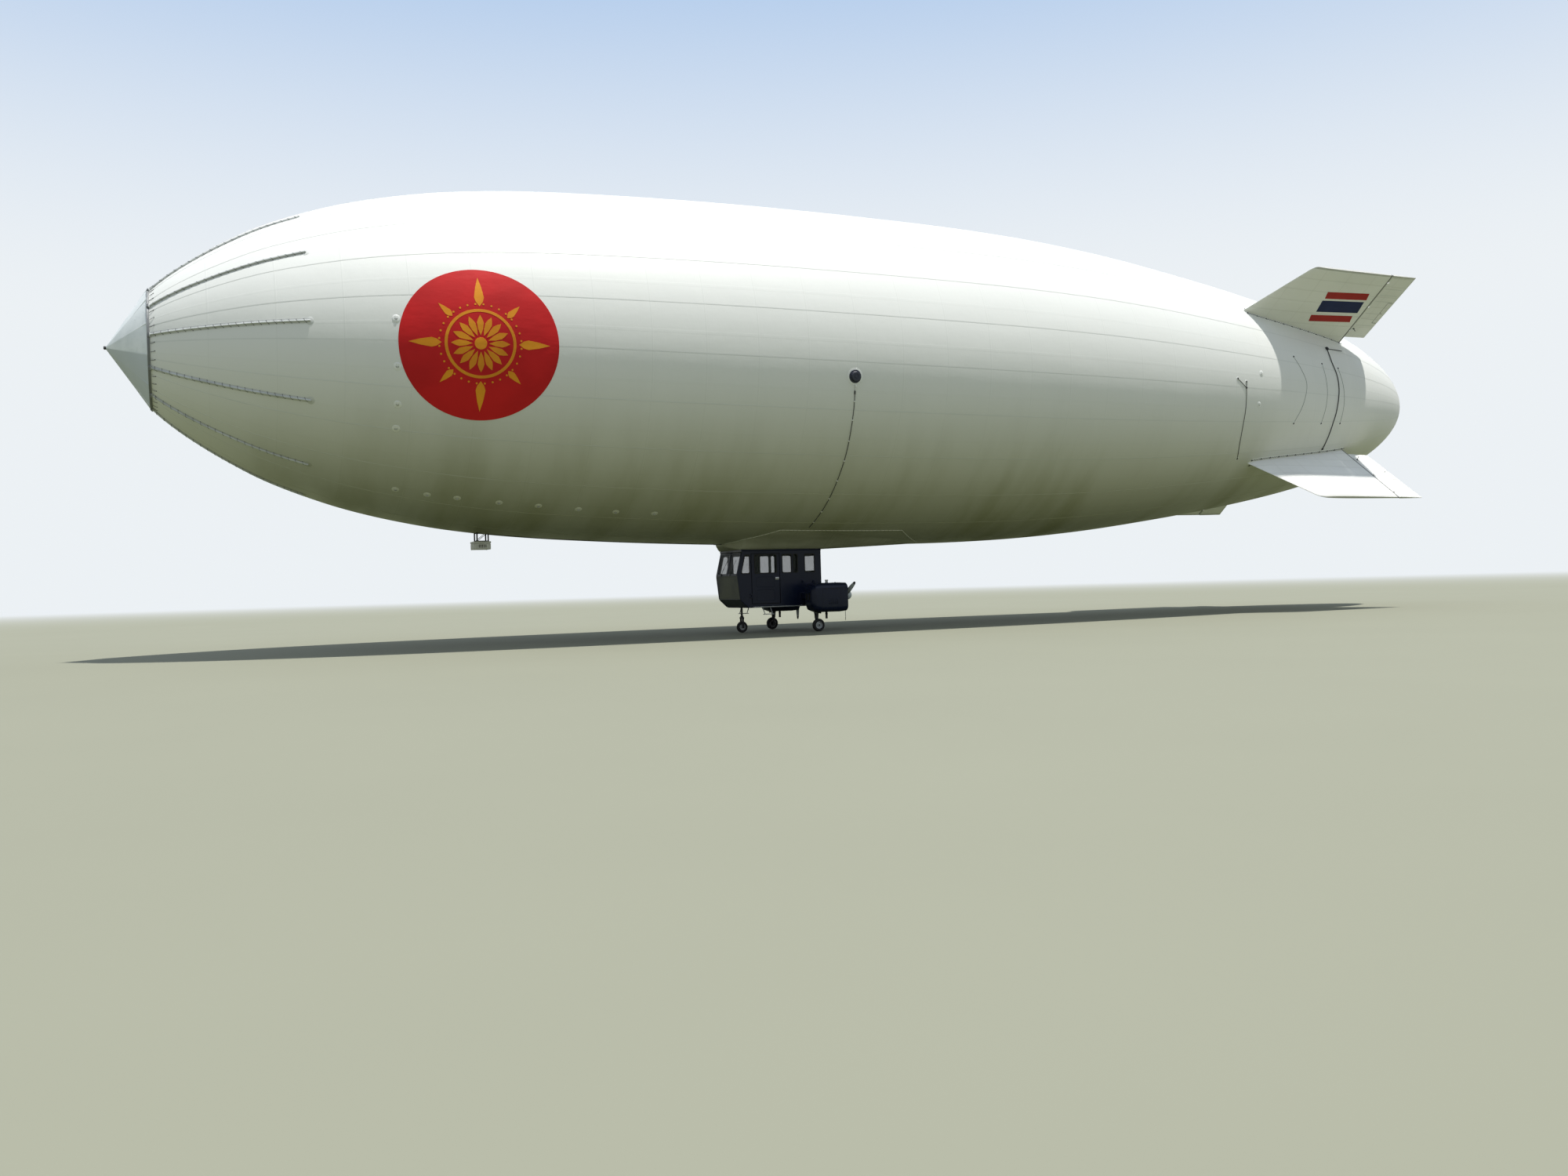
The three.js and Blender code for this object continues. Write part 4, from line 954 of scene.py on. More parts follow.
# Section: station, half width at the hull, half width below, height of the flat bottom.
FAIRING = [
    (-3.3875, 0.210, 0.130, 1.3675),
    (-3.2225, 0.575, 0.430, 1.3006),
    (-2.7875, 0.980, 0.450, 1.3006),
    (-1.7875, 0.980, 0.450, 1.3006),
    (-0.6375, 0.980, 0.380, 1.3450),
    (0.0125, 0.350, 0.150, 1.3690),
]
FAIRING_ENDS = (FAIRING[0][0], FAIRING[-1][0])


def between(table, x):
    """The values of a table at x, in straight lines from row to row."""
    i = min(max(sum(row[0] < x for row in table), 1), len(table) - 1)
    near, far = table[i - 1], table[i]
    share = (x - near[0]) / (far[0] - near[0])
    return [a + (b - a) * share for a, b in zip(near[1:], far[1:])]


def fairing_edge(x, lift=0.0):
    """The point where the skirt meets the hull on the port side."""
    return on_hull(x, -math.acos(min(between(FAIRING, x)[0] / hull_radius(x), 1)), lift)


def fairing_ring(x):
    """Round the section from one edge under the keel to the other, and back inside."""
    _, bottom, low = between(FAIRING, x)
    edge = fairing_edge(x)
    corner = Vector((x, -bottom, low))
    flank = [edge.lerp(corner, t) + UP * 0.02 * math.sin(math.pi * t) for t in steps(0, 0.94, 0.134)]
    half = [edge + UP * 0.06] + flank + [Vector((x, -bottom * t, low)) for t in steps(0.96, 0, 0.24)]
    return half + [Vector((p.x, -p.y, p.z)) for p in half[-2::-1]]


def skin(rows):
    """A closed body through rings with equal counts of points, its two ends filled."""
    shape = bmesh.new()
    last, count = len(rows) - 1, len(rows[0])
    for vertex in bmesh.ops.create_grid(shape, x_segments=last, y_segments=count, size=0.5)["verts"]:
        ring = rows[round((vertex.co.x + 0.5) * last)]
        vertex.co = ring[round((vertex.co.y + 0.5) * count) % count]
    bmesh.ops.remove_doubles(shape, verts=shape.verts, dist=1e-6)
    bmesh.ops.holes_fill(shape, edges=[e for e in shape.edges if e.is_boundary], sides=0)
    return outward(shape)


def piping():
    path = [fairing_edge(x, 0.003) for x in steps(*FAIRING_ENDS, 0.05)]
    return rod(bmesh.new(), path, PIPING_RADIUS)


def skirt_lacing():
    places = []
    for x in steps(FAIRING_ENDS[0] + 0.06, FAIRING_ENDS[1] - 0.06, 0.07):
        edge = fairing_edge(x)
        places.append(facing(fairing_edge(x, 0.004), Vector((0, edge.y, edge.z - AXIS))))
    loop = [(0.009, -0.016, -0.003), (0.003, -0.006, 0.0085), (-0.003, 0.006, 0.0085), (-0.009, 0.016, 0)]
    return laid(rod(bmesh.new(), loop, 0.0016, 4), places)


def fairing_finish():
    """The hull's fabric, duller, with hoops that press through it. Its dark olive colour is painted shade and
    ground reflection under the hull, with patches of dust.
    """
    made, at = finish_of("fairing_fabric", Coat_Weight=0.08, Coat_Roughness=0.4)
    hoop = at.split()[0].line(0.34, 0.06, 0.15)
    dust = at.noise(2.5, 5, (0.4, 1, 1)).smooth(0.35, 0.75)
    # Both tones are dark olive: painted shade and ground reflection under the hull, with the noise spreading
    # dust between them.
    colour = dust.mix((0.50, 0.50, 0.40, 1), (0.32, 0.32, 0.23, 1))
    height = hoop * 0.5 + at.noise(3, 4, (0.4, 1, 1)) * 0.6 + at.noise(80, 2) * 0.02
    return paint(made, colour, 0.5 + 0.2 * dust, height, 0.006)


piece("fairing_skirt", skin([fairing_ring(x) for x in steps(*FAIRING_ENDS, 0.0425)]), fairing_finish(),
      "hull_fabric", stands_for=["keel_fairing"])
piece("fairing_piping", gather(*pair(piping)), PALE_FABRIC, "hull_fabric")
piece("fairing_lacing", gather(*pair(skirt_lacing)), DARK_CORD, "dark_metal")

# Tail fins.
# Four like fins in an X: doped fabric over a light frame, with a round leading edge, a rounded tip
# and a hem laced to the hull. The ribs and spars show as soft lines. The upper two have stripes.
LEVELS = (("upper", math.radians(39)), ("lower", math.radians(-39)))
FIN_TIP = 3.21
FIN_INSIDE = 1.35
FIN_BACK = 8.9625
FIN_SHOULDER = 0.09
RIB_PITCH = 0.235
# By radius from the hull's axis: the station of the leading edge, and the thickness.
FIN_FRONT = [(2.15, 6.1125), (FIN_TIP, 7.0125)]
FIN_THICK = [(FIN_INSIDE, 0.110), (FIN_TIP, 0.070)]
HEM_FRONT = 6.20
FIN_WHITE = (0.88, 0.88, 0.86, 1)
STRIPE_RED = (0.42, 0.022, 0.020, 1)
STRIPE_BLUE = (0.012, 0.022, 0.10, 1)
# Stripe: inner radius, outer radius and front at the inner edge.
STRIPES = [(2.09, 2.23, 7.76), (2.305, 2.555, 7.77), (2.60, 2.745, 7.74)]
STRIPE_LENGTH = 1.04
STRIPE_LEAN = -0.05
STRIPE_RISE = 0.045


def into_tip(radius):
    """How far into the rounded tip a radius lies, from 0 to 1."""
    return max(radius - FIN_TIP + FIN_SHOULDER, 0) / FIN_SHOULDER


def fin_front(radius):
    """Station of the leading edge, which is cut back round the tip."""
    return between(FIN_FRONT, radius)[0] + FIN_SHOULDER * (1 - math.sqrt(max(1 - into_tip(radius) ** 2, 0)))


def fin_half(radius, chord):
    """Half thickness at a radius and a share of the chord."""
    round_front = math.sin(math.pi / 2 * min(chord / 0.35, 1) ** 0.45)
    taper = 1 - 0.48 * max((chord - 0.35) / 0.65, 0) ** 1.4
    return between(FIN_THICK, radius)[0] / 2 * round_front * taper * (1 - 0.4 * into_tip(radius) ** 2)


def fin_out(face, angle):
    """Square to a port fin's own plane: face is 1 above and -1 below."""
    return Vector((0, face * math.sin(angle), face * math.cos(angle)))


def fin_point(x, across, radius, angle):
    """A point by station, distance above the port fin's own plane, and radius."""
    return Vector((x, -radius * math.cos(angle), AXIS + radius * math.sin(angle))) + fin_out(across, angle)


def fin_shape(angle):
    chords = [(i / 20) ** 1.6 for i in range(21)]
    loop = [(chord, 1) for chord in chords] + [(chord, -1) for chord in chords[:0:-1]]
    radii = steps(FIN_INSIDE + 0.1, FIN_TIP - FIN_SHOULDER, 0.06)
    radii += [FIN_TIP - FIN_SHOULDER * (1 - math.sin(math.pi / 12 * i)) for i in range(1, 7)]
    rows = []
    for radius in radii:
        front, length = fin_front(radius), FIN_BACK - fin_front(radius)
        rows.append([fin_point(front + chord * length, face * fin_half(radius, chord), radius, angle)
                     for chord, face in loop])
    return skin(rows)


def fin_finish(name, angle, white=FIN_WHITE):
    """Doped fabric: ribs and spars press through, with tapes over them and a dusting of dirt. Painted shade
    darkens the rounded tip and a band beside the hinge gap.
    """
    made, at = finish_of(name, Coat_Weight=0.1, Coat_Roughness=0.4)
    x, y, z = at.split()
    radius = (z - AXIS) * math.sin(angle) + y.math("ABSOLUTE") * math.cos(angle)
    rib = radius.line(RIB_PITCH, 0.016, 0.35)
    spar = x.line(0.62, 0.016, 0.2)
    dirt = at.noise(1.6, 5, (0.6, 1, 1)).smooth(0.42, 0.78)
    clean = at.noise(0.9, 3).mix(white, tinted(white, 0.94))
    colour = (0.14 * rib + 0.10 * spar + 0.16 * dirt).mix(clean, (0.50, 0.50, 0.46, 1))
    # A dark band just ahead of the fin's rear edge is painted shade of the hinge gap.
    seal = x.smooth(FIN_BACK - 0.036, FIN_BACK - 0.032) * (1 - x.smooth(FIN_BACK + 0.001, FIN_BACK + 0.003))
    # The rounded tip is painted darker: painted shade on the tip's edge.
    colour = (0.5 * radius.smooth(FIN_TIP - 0.040, FIN_TIP - 0.030)).mix(colour, (0.28, 0.28, 0.25, 1))
    colour = (0.9 * seal).mix(colour, (0.13, 0.13, 0.12, 1))
    height = rib * 0.5 + spar * 0.4 + at.noise(2.6, 4) * 0.5 + at.noise(70, 2) * 0.02
    return paint(made, colour, 0.45 + 0.15 * dirt, height, 0.004)


def fin_stripe(inner, outer, start, angle):
    """Thin films on both faces that follow the stripe's slant."""
    shape = bmesh.new()
    for face in (1, -1):
        sheet = bmesh.new()
        for vertex in bmesh.ops.create_grid(sheet, x_segments=16, y_segments=6, size=0.5)["verts"]:
            ahead, up = vertex.co.x + 0.5, vertex.co.y + 0.5
            x = start + STRIPE_LEAN * up + STRIPE_LENGTH * ahead
            radius = inner + (outer - inner) * up + STRIPE_RISE * ahead
            front = fin_front(radius)
            half = fin_half(radius, (x - front) / (FIN_BACK - front))
            vertex.co = fin_point(x, face * (half + 0.0012), radius, angle)
        bmesh.ops.solidify(sheet, geom=sheet.faces, thickness=0.0008)
        gather(shape, outward(sheet))
    return shape


def hem_line(face, angle, pitch):
    """The middle of the hem, beside the line where a face of the fin meets the skin."""
    line = []
    for x in steps(HEM_FRONT, FIN_BACK, pitch):
        radius = hull_radius(x)
        front = fin_front(radius)
        line.append((x, angle + face * (fin_half(radius, (x - front) / (FIN_BACK - front)) + 0.030) / radius))
    return line


def root_hem(angle):
    """A fabric flange on the skin along both faces, closed round the leading edge."""
    shape = bmesh.new()
    for face in (1, -1):
        band(shape, hem_line(face, angle, 0.0468), 0.060, 0.002)
    return gather(shape, patch(0.055), [hull_place(HEM_FRONT - 0.015, angle, 0.0006)])


def root_lacing(angle):
    """Cord that is laced through eyelets along the hem, with a knot at each fourth one."""
    loop = rod(bmesh.new(), [(-0.030, -0.010, 0.004), (0, 0.012, 0.007), (0.030, -0.010, 0.004)], 0.003, 4)
    above, below = [[hull_place(*spot) for spot in hem_line(face, angle, 0.0614)] for face in (1, -1)]
    knots = [place @ shift(0, 0, 0.004) for place in above[::4] + below[::4]]
    return gather(laid(loop, above + below), dome(0.016, 0.008, 8), knots)


for level, angle in LEVELS:
    both(f"fin_cover_{level}", pair(fin_shape, angle), fin_finish(f"fin_fabric_{level}", angle), "fin_fabric",
         stands_for=f"fin_{level}", crease=50)
    both(f"fin_hem_{level}", pair(root_hem, angle), PALE_FABRIC, "hull_fabric")
    both(f"fin_lacing_{level}", pair(root_lacing, angle), DARK_CORD, "dark_metal")
red, blue = [film_finish(name, colour, tinted(colour, worn)) for name, colour, worn in (
    ("stripe_red", STRIPE_RED, 0.8), ("stripe_blue", STRIPE_BLUE, 0.7))]
for number, finish, stripe in zip((1, 2, 3), (red, blue, red), STRIPES):
    both(f"fin_stripe_{number}_upper", pair(fin_stripe, *stripe, LEVELS[0][1]), finish, "fin_fabric")

# Control surfaces.
# Each fin carries a wedge-shaped fabric surface on three hinges. A trim tab is cut into its trailing
# edge, a horn stands out at its inner end, and a rubber lip closes the gap to the fin.
HINGE_STATION = 8.995
RUDDER_INNER = 1.79
HORN_RADIUS = 1.99
RIB_TAPES = (1.84, 2.08, 2.23, 2.36, 2.64, 2.78, 2.92, 3.16)
TAB_INNER, TAB_OUTER = 2.15, 2.62
# The surface's chord by radius, and its half thickness by share of the chord.
RUDDER_CHORD = [(RUDDER_INNER, 0.5175), (FIN_TIP, 0.5875)]
RUDDER_HALF = [(0, 0.0175), (0.5, 0.011), (1, 0.0025)]


def sided(*names):
    return [f"{name}_{side_name}" for name in names for side_name, _ in SIDES]


def dressed(finish, *names):
    """Gives nodes of the frame that stay in view their finish."""
    for name in names:
        mesh = frame["nodes"][name].data
        mesh.materials.clear()
        mesh.materials.append(finish)


def rudder_strip(shape, angle, start, end, width):
    """A thin tape on both faces between two points given as (distance behind the hinge, radius)."""
    for face in (1, -1):
        path = []
        for back, radius in [Vector(start).lerp(Vector(end), t) for t in steps(0, 1, 0.1)]:
            half = between(RUDDER_HALF, back / between(RUDDER_CHORD, radius)[0])[0]
            path.append(fin_point(HINGE_STATION + back, face * (half + 0.0005), radius, angle))
        beside = (path[-1] - path[0]).cross(fin_out(face, angle)).normalized()
        gather(shape, strip(width, 0.0008, [(middle, beside) for middle in path]))
    return shape


def rudder_tapes(angle):
    shape = bmesh.new()
    for radius in RIB_TAPES:
        rudder_strip(shape, angle, (0.03, radius), (0.49, radius), 0.014)
    return rudder_strip(shape, angle, (0.50, 1.80), (0.565, 3.20), 0.016)


def rudder_tab(angle):
    """Dark strips that paint the shade in the gaps round the trim tab, and its small horn."""
    shape = bmesh.new()
    rudder_strip(shape, angle, (0.40, TAB_INNER), (0.40, TAB_OUTER), 0.007)
    for radius in (TAB_INNER, TAB_OUTER):
        rudder_strip(shape, angle, (0.40, radius), (0.515, radius), 0.007)
    for face in (1, -1):
        rod(shape, [fin_point(HINGE_STATION + back, face * across, (TAB_INNER + TAB_OUTER) / 2, angle)
                    for back, across in ((0.415, 0.010), (0.405, 0.034))], 0.004)
    return shape


def hinge_seal(angle, back):
    """A rubber lip on the fin's rear edge that closes most of the gap, clear of the surface."""
    shape = bmesh.new()
    for vertex in bmesh.ops.create_cube(shape, size=1)["verts"]:
        x = FIN_BACK - 0.003 if vertex.co.x < 0 else back
        radius = RUDDER_INNER + 0.02 if vertex.co.z < 0 else FIN_TIP - 0.03
        vertex.co = fin_point(x, 0.020 * vertex.co.y, radius, angle)
    return eased_edges(shape, 0.004, 3)


def rudder_horn(angle):
    shape = bmesh.new()
    for face in (1, -1):
        foot = fin_point(HINGE_STATION + 0.05, face * 0.012, HORN_RADIUS, angle)
        tip = fin_point(HINGE_STATION + 0.035, face * 0.085, HORN_RADIUS, angle)
        out = fin_out(face, angle)
        rod(shape, [foot, tip], 0.005)
        gather(shape, slab((0.05, 0.024, 0.004), 0.0015), [facing(foot + out * 0.006, out)])
        gather(shape, dome(0.008, 0.004, 10), [facing(tip, out)])
    return shape


# Below the axis these tapes take the hull's painted shade, with some dust.
TAPE_WHITE = fabric_finish("tape_white", (0.70, 0.71, 0.69, 1), HULL_GREY, (0.60, 0.60, 0.54, 1))
for level, angle in LEVELS:
    body = f"rudder_{level}"
    dressed(fin_finish(f"rudder_fabric_{level}", angle, tinted(FIN_WHITE, 0.97)), *sided(body))
    seal = pair(hinge_seal, angle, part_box(f"{body}_port")[0].x - 0.006)
    both(f"hinge_seal_{level}", seal, TAPE_WHITE, "fin_fabric")
    both(f"rudder_tapes_{level}", pair(rudder_tapes, angle), TAPE_WHITE, "fin_fabric", body)
    both(f"rudder_tab_{level}", pair(rudder_tab, angle), GAP_SHADE_AND_BLACK, "dark_metal", body)
    both(f"rudder_horn_{level}", pair(rudder_horn, angle), DARK_STEEL, "dark_metal", body)

# Tail rigging.
# Taut cables that lie on the skin: a heavy one from a junction box under the upper fin to the lower
# one, a bridle ahead of the fins, and light lines between small patches. They run on both sides.
# All by station and degrees above the mid-line.
TAIL_CABLE = [(8.232, 26.2), (8.228, 17.7), (8.30, 10), (8.326, 4.9), (8.328, -0.2), (8.311, -5.3),
              (8.280, -13), (8.239, -20.5), (8.210, -35)]
TAIL_LEAD = [(8.232, 26.2), (8.50, 27.3), (8.78, 28.5)]
BRIDLE = [
    [(5.343, 0.4), (5.46, -1.4), (5.57, -3.2)],
    [(5.571, -0.6), (5.571, -1.8), (5.57, -3.2)],
    [(5.57, -3.2), (5.59, -11.9), (5.604, -20.6), (5.66, -28.5), (5.761, -35.9)],
]
STAYS = [
    [(7.019, 15.3), (7.20, 8), (7.303, 1.05), (7.21, -9), (7.014, -18.9)],
    [(7.878, 14.6), (7.93, 6), (7.95, -2), (7.92, -11), (7.861, -19)],
    [(8.40, 14), (8.48, 5), (8.52, -4), (8.51, -12), (8.483, -19.2)],
]


def skin_lines(shape, lines, radius):
    """Cables that lie on the skin along smooth paths."""
    for line in lines:
        path = seats(eased(line, 8 * len(line)), radius)
        rod(shape, [place.translation for place in path], radius)
    return shape


def tail_cables():
    shape = skin_lines(bmesh.new(), [TAIL_CABLE], 0.0080)
    return skin_lines(skin_lines(shape, [TAIL_LEAD], 0.0065), BRIDLE, 0.0045)


def tail_fittings():
    """A boss at each end of a line, the junction box, a knot plate and a clamp."""
    shape = laid(dome(0.018, 0.010, 12), [end @ shift(0, 0, 0.002) for end in seats(line_ends)])
    for spot, lift, size, bevel in (
        (TAIL_CABLE[0], 0.014, (0.062, 0.052, 0.034), 0.006),
        (BRIDLE[0][-1], 0.006, (0.030, 0.030, 0.014), 0.005),
        (TAIL_CABLE[-1], 0.008, (0.040, 0.030, 0.020), 0.006),
    ):
        gather(shape, slab(size, bevel), seats([spot], lift))
    return shape


PALE_CORD = cord_finish("pale_cord", (0.33, 0.35, 0.35))
line_ends = [stay[i] for stay in STAYS for i in (0, -1)] + [BRIDLE[0][0], BRIDLE[1][0], BRIDLE[2][-1]]
both("tail_cables", pair(tail_cables), DARK_CORD, "dark_metal")
both("tail_stays", pair(lambda: skin_lines(bmesh.new(), STAYS, 0.0028)), PALE_CORD, "dark_metal")
both("tail_patches", pair(lambda: laid(patch(0.036), seats(line_ends))), PALE_FABRIC, "hull_fabric")
both("tail_fittings", pair(tail_fittings), DARK_STEEL, "dark_metal")

# Cabin.
# Riveted sheet on a light frame, painted dark navy: floor, roof, curved nose, two sides and a rear
# wall. A tube rail along each side is for handling on the ground, and a step hangs under each door.
# All from here on is in the full-size drawing's millimetres: aft of the nose tip, to port and up.
MIDDLE_STATION = 23675
DRAWING_SCALE = 2000
CABIN_SKIN = 850
SIDE_OUTLINE = [(17300, 2540), (17120, 1800), (17200, 1060), (17480, 800), (20020, 800), (20020, 2540)]
WINDOW_LOW, WINDOW_HIGH = 1860, 2440
QUARTER_WINDOW = [(17250, 1860), (17540, 1860), (17540, 2440), (17385, 2440)]
AFT_WINDOWS = [(18660, 18990), (19050, 19200), (19450, 19800)]
RIVET_PITCH = 0.028
# Rows of rivets: station and height of each end.
SIDE_RIVETS = [
    (17380, 2505, 19990, 2505), (17560, 835, 19985, 835), (17560, 880, 17560, 1080),
    (17560, 1250, 17560, 1800), (18612, 880, 18612, 2480), (19990, 870, 19990, 2480),
    (18650, 1815, 19985, 1815), (19322, 860, 19322, 2480), (17185, 1775, 17235, 1110),
    (17250, 1060, 17480, 845), (17180, 1815, 17560, 1815), (18650, 1300, 19985, 1300),
]


def drawn(x, y, z):
    """A point of the drawing, in the model's metres."""
    return Vector((x - MIDDLE_STATION, -y, z)) / DRAWING_SCALE


def fixed(x, y, z):
    """A frame at a point of the drawing."""
    return shift(*drawn(x, y, z))


def on_side(x, z, lift=0):
    return drawn(x, CABIN_SKIN + lift, z)


def upright(front, back, low=WINDOW_LOW, high=WINDOW_HIGH):
    """The corners of a rectangle."""
    return [(front, low), (back, low), (back, high), (front, high)]


def tubes(shape, *rows):
    """Round tubes, each given as its radius, its facets and the points of the drawing that it joins."""
    for radius, facets, *points in rows:
        rod(shape, [drawn(*point) for point in points], radius, facets)
    return shape


def riveted(shape, rows, out, place=on_side):
    """Rows of rivets on a face that looks out. Place turns the two numbers of an end into a point."""
    heads = []
    for a, b, c, d in rows:
        start, end = place(a, b), place(c, d)
        along = end - start
        shares = steps(0, 1, RIVET_PITCH / along.length)
        heads += [facing(start.lerp(end, share), out, along) for share in shares]
    return gather(shape, dome(0.0032, 0.0018, 6), heads)


def bent(before, corner, after, radius):
    """Five points round a corner."""
    back, ahead = [(end - corner).normalized() * radius for end in (before, after)]
    return [corner + back * (1 - t) ** 2 + ahead * t**2 for t in (0, 0.25, 0.5, 0.75, 1)]


def neighbours(corners):
    """Each corner of a closed outline, between the ones before and after it."""
    return zip(corners[-1:] + corners, corners, corners[1:] + corners[:1])


def rounded(corners, radius):
    """A closed path through the corners, with each one rounded off."""
    return [point for three in neighbours(corners) for point in bent(*three, radius)]


def offset(corners, out, by):
    """The corners of a flat outline moved outwards by the same distance from each edge."""
    middle = sum(corners, Vector()) / len(corners)
    moved = []
    for before, corner, after in neighbours(corners):
        first, second = [edge.cross(out).normalized() for edge in (corner - before, after - corner)]
        miter = (first + second) / (1 + first.dot(second))
        moved.append(corner + miter * by * math.copysign(1, miter.dot(corner - middle)))
    return moved


def surround(shape, corners, out, grow, inset, bend, thick):
    """A flat frame round an opening: from a little outside its corners to a rounded opening inside."""
    outer = rounded(offset(corners, out, grow), 0.8 * bend)
    inner = rounded(offset(corners, out, -inset), bend)
    rows = [[a, a + out * thick * 0.6, a.lerp(b, 0.2) + out * thick, b.lerp(a, 0.2) + out * thick,
             b + out * thick * 0.6, b] for a, b in zip(outer, inner)]
    return gather(shape, skin(rows + rows[:1]))


def gasket(shape, corners, out=PORT):
    return surround(shape, corners, out, 0.006, 0.007, 0.028, 0.0035)


def painted_finish(name, colour, worn, roughness=0.30, dust=0.5):
    """Glossy paint on sheet: an even coat with dull patches, dust, small chips and a slight ripple."""
    made, at = finish_of(name, Specular_IOR_Level=0.28, Coat_Weight=0.12, Coat_Roughness=0.15)
    dull = at.noise(3, 5).smooth(0.42, 0.75)
    chip = at.noise(48, 5).smooth(0.73, 0.77)
    low = 1 - at.split()[2].smooth(0.35, 0.85)
    colour = (dull * 0.5 + dust * low * at.noise(9, 4).smooth(0.35, 0.8)).mix(colour, worn)
    colour = (chip * 0.4).mix(colour, (0.10, 0.10, 0.10, 1))
    height = at.noise(2.2, 3) * 0.8 + at.noise(260, 2) * 0.05
    return paint(made, colour, roughness + 0.22 * dull, height, 0.002)


def rubber_finish(name, colour=(0.013, 0.013, 0.014, 1), worn=(0.034, 0.034, 0.033, 1)):
    made, at = finish_of(name)
    dusty = at.noise(14, 5).smooth(0.42, 0.72)
    return paint(made, dusty.mix(colour, worn), 0.72 + 0.16 * dusty, at.noise(190, 3), 0.0005)


def side_beads():
    """Rolled beads that cover the corner joints of the side panel."""
    edge = [on_side(x, z, -4) for x, z in SIDE_OUTLINE]
    path = [point for three in zip(edge, edge[1:], edge[2:]) for point in bent(*three, 0.03)]
    shape = rod(bmesh.new(), edge[:1] + path + edge[-1:], 0.0062, 12)
    return rod(shape, [on_side(17310, 2568), on_side(20030, 2568)], 0.0085, 12)


def side_gaskets():
    shape = bmesh.new()
    for window in [QUARTER_WINDOW] + [upright(*edges) for edges in AFT_WINDOWS]:
        gasket(shape, [on_side(x, z) for x, z in window])
    return shape


def side_rail():
    """The rail, its stand-offs, and the step under the door with its two hangers."""
    rail = (0.0088, 12, (17620, 880, 812), (17640, 915, 806), (19900, 915, 806), (19920, 880, 812))
    shape = tubes(bmesh.new(), rail)
    for x in (17900, 18300, 18760, 19300, 19760):
        tubes(shape, (0.0062, 8, (x, 840, 825), (x, 912, 808)))
    for x in (17960, 18220):
        tubes(shape, (0.0062, 8, (x, 830, 806), (x, 985, 590)), (0.0050, 8, (x, 780, 806), (x, 985, 590)))
    tread = fixed(18090, 975, 580)
    gather(shape, slab((0.165, 0.062, 0.009), 0.003), [tread])
    ribs = [tread @ shift(0, across, 0.0055) for across in (-0.022, 0, 0.022)]
    return gather(shape, slab((0.15, 0.005, 0.003), 0.001), ribs)


NAVY = painted_finish("navy_paint", (0.0055, 0.010, 0.034, 1), (0.014, 0.018, 0.036, 1))
RUBBER = rubber_finish("black_rubber")
dressed(NAVY, "cabin_floor", "cabin_nose", "cabin_rear", "cabin_roof", *sided("cabin_side"))
both("cabin_beads", pair(side_beads), NAVY, "navy_paint")
both("cabin_rivets", pair(lambda: riveted(bmesh.new(), SIDE_RIVETS, PORT)), NAVY, "navy_paint")
both("window_gaskets", pair(side_gaskets), RUBBER, "navy_paint")
both("side_rail", pair(side_rail), GREY_TUBE, "batten_metal")

# Cabin nose and rear wall.
# The windshield is one sheet of acrylic behind a frame with a centre bar, with two wipers. The nose
# panel below has riveted laps, and the rear wall a window and a louvred hatch.
GLASS_FOOT = Vector((-3.2755, 0, 0.9003))
GLASS_HEAD = Vector((-3.1875, 0, 1.27))
GLASS_SLOPE = GLASS_HEAD - GLASS_FOOT
GLASS_OUT = Vector((-GLASS_SLOPE.z, 0, GLASS_SLOPE.x)).normalized()
GLASS_HALF = 0.395
CHIN = [(17120, 1800), (17200, 1060), (17480, 800)]
REAR_WALL = 20020
# Rows of rivets: distance to port and height of each end.
REAR_RIVETS = [(-760, 2500, 760, 2500), (-760, 900, 760, 900), (-760, 960, -760, 2440), (760, 960, 760, 2440),
               (-760, 1830, 760, 1830)]


def on_windshield(across, up, lift=0.0):
    """A point on the outer face: metres to port, and the share of the way up."""
    return GLASS_FOOT + GLASS_SLOPE * up + PORT * across + GLASS_OUT * lift


def windshield_frame():
    shape = bmesh.new()
    for near, far in ((-GLASS_HALF, -0.012), (0.012, GLASS_HALF)):
        corners = [on_windshield(*spot) for spot in upright(near, far, 0.02, 0.97)]
        surround(shape, corners, GLASS_OUT, 0.004, 0.020, 0.032, 0.005)
    bar = slab((0.375, 0.034, 0.008), 0.003)
    return gather(shape, bar, [facing(on_windshield(0, 0.5, 0.004), GLASS_OUT, GLASS_SLOPE)])


def wipers():
    shape = bmesh.new()
    for across in (0.13, -0.21):
        hub = on_windshield(across, 0.03, 0.010)
        rod(shape, [hub - GLASS_OUT * 0.014, hub + GLASS_OUT * 0.004], 0.007, 12)
        rod(shape, [hub, on_windshield(across + 0.05, 0.30, 0.011)], 0.003)
        blade = [on_windshield(across + 0.05 + 0.09 * t, 0.30 + 0.36 * t, 0.0062) for t in (-0.7, 0, 1)]
        rod(shape, blade, 0.0035, 4)
    return shape


def nose_rivets():
    shape = bmesh.new()
    rows = [(across, 0.06, across, 0.94) for across in (-770, -260, 260, 770)]
    rows += [(-740, share, 740, share) for share in (0.045, 0.955)]
    for (x0, z0), (x1, z1) in zip(CHIN, CHIN[1:]):
        riveted(shape, rows, Vector((z1 - z0, 0, x0 - x1)).normalized(),
                lambda across, share: drawn(x0, across, z0).lerp(drawn(x1, across, z1), share))
    return shape


def nose_laps():
    """Laps over the bend of the nose panel and under the windshield."""
    spots = zip(CHIN, (0.006, 0.004, 0.005))
    return tubes(bmesh.new(), *[(radius, 12, (x + 4, -800, z), (x + 4, 800, z)) for (x, z), radius in spots])


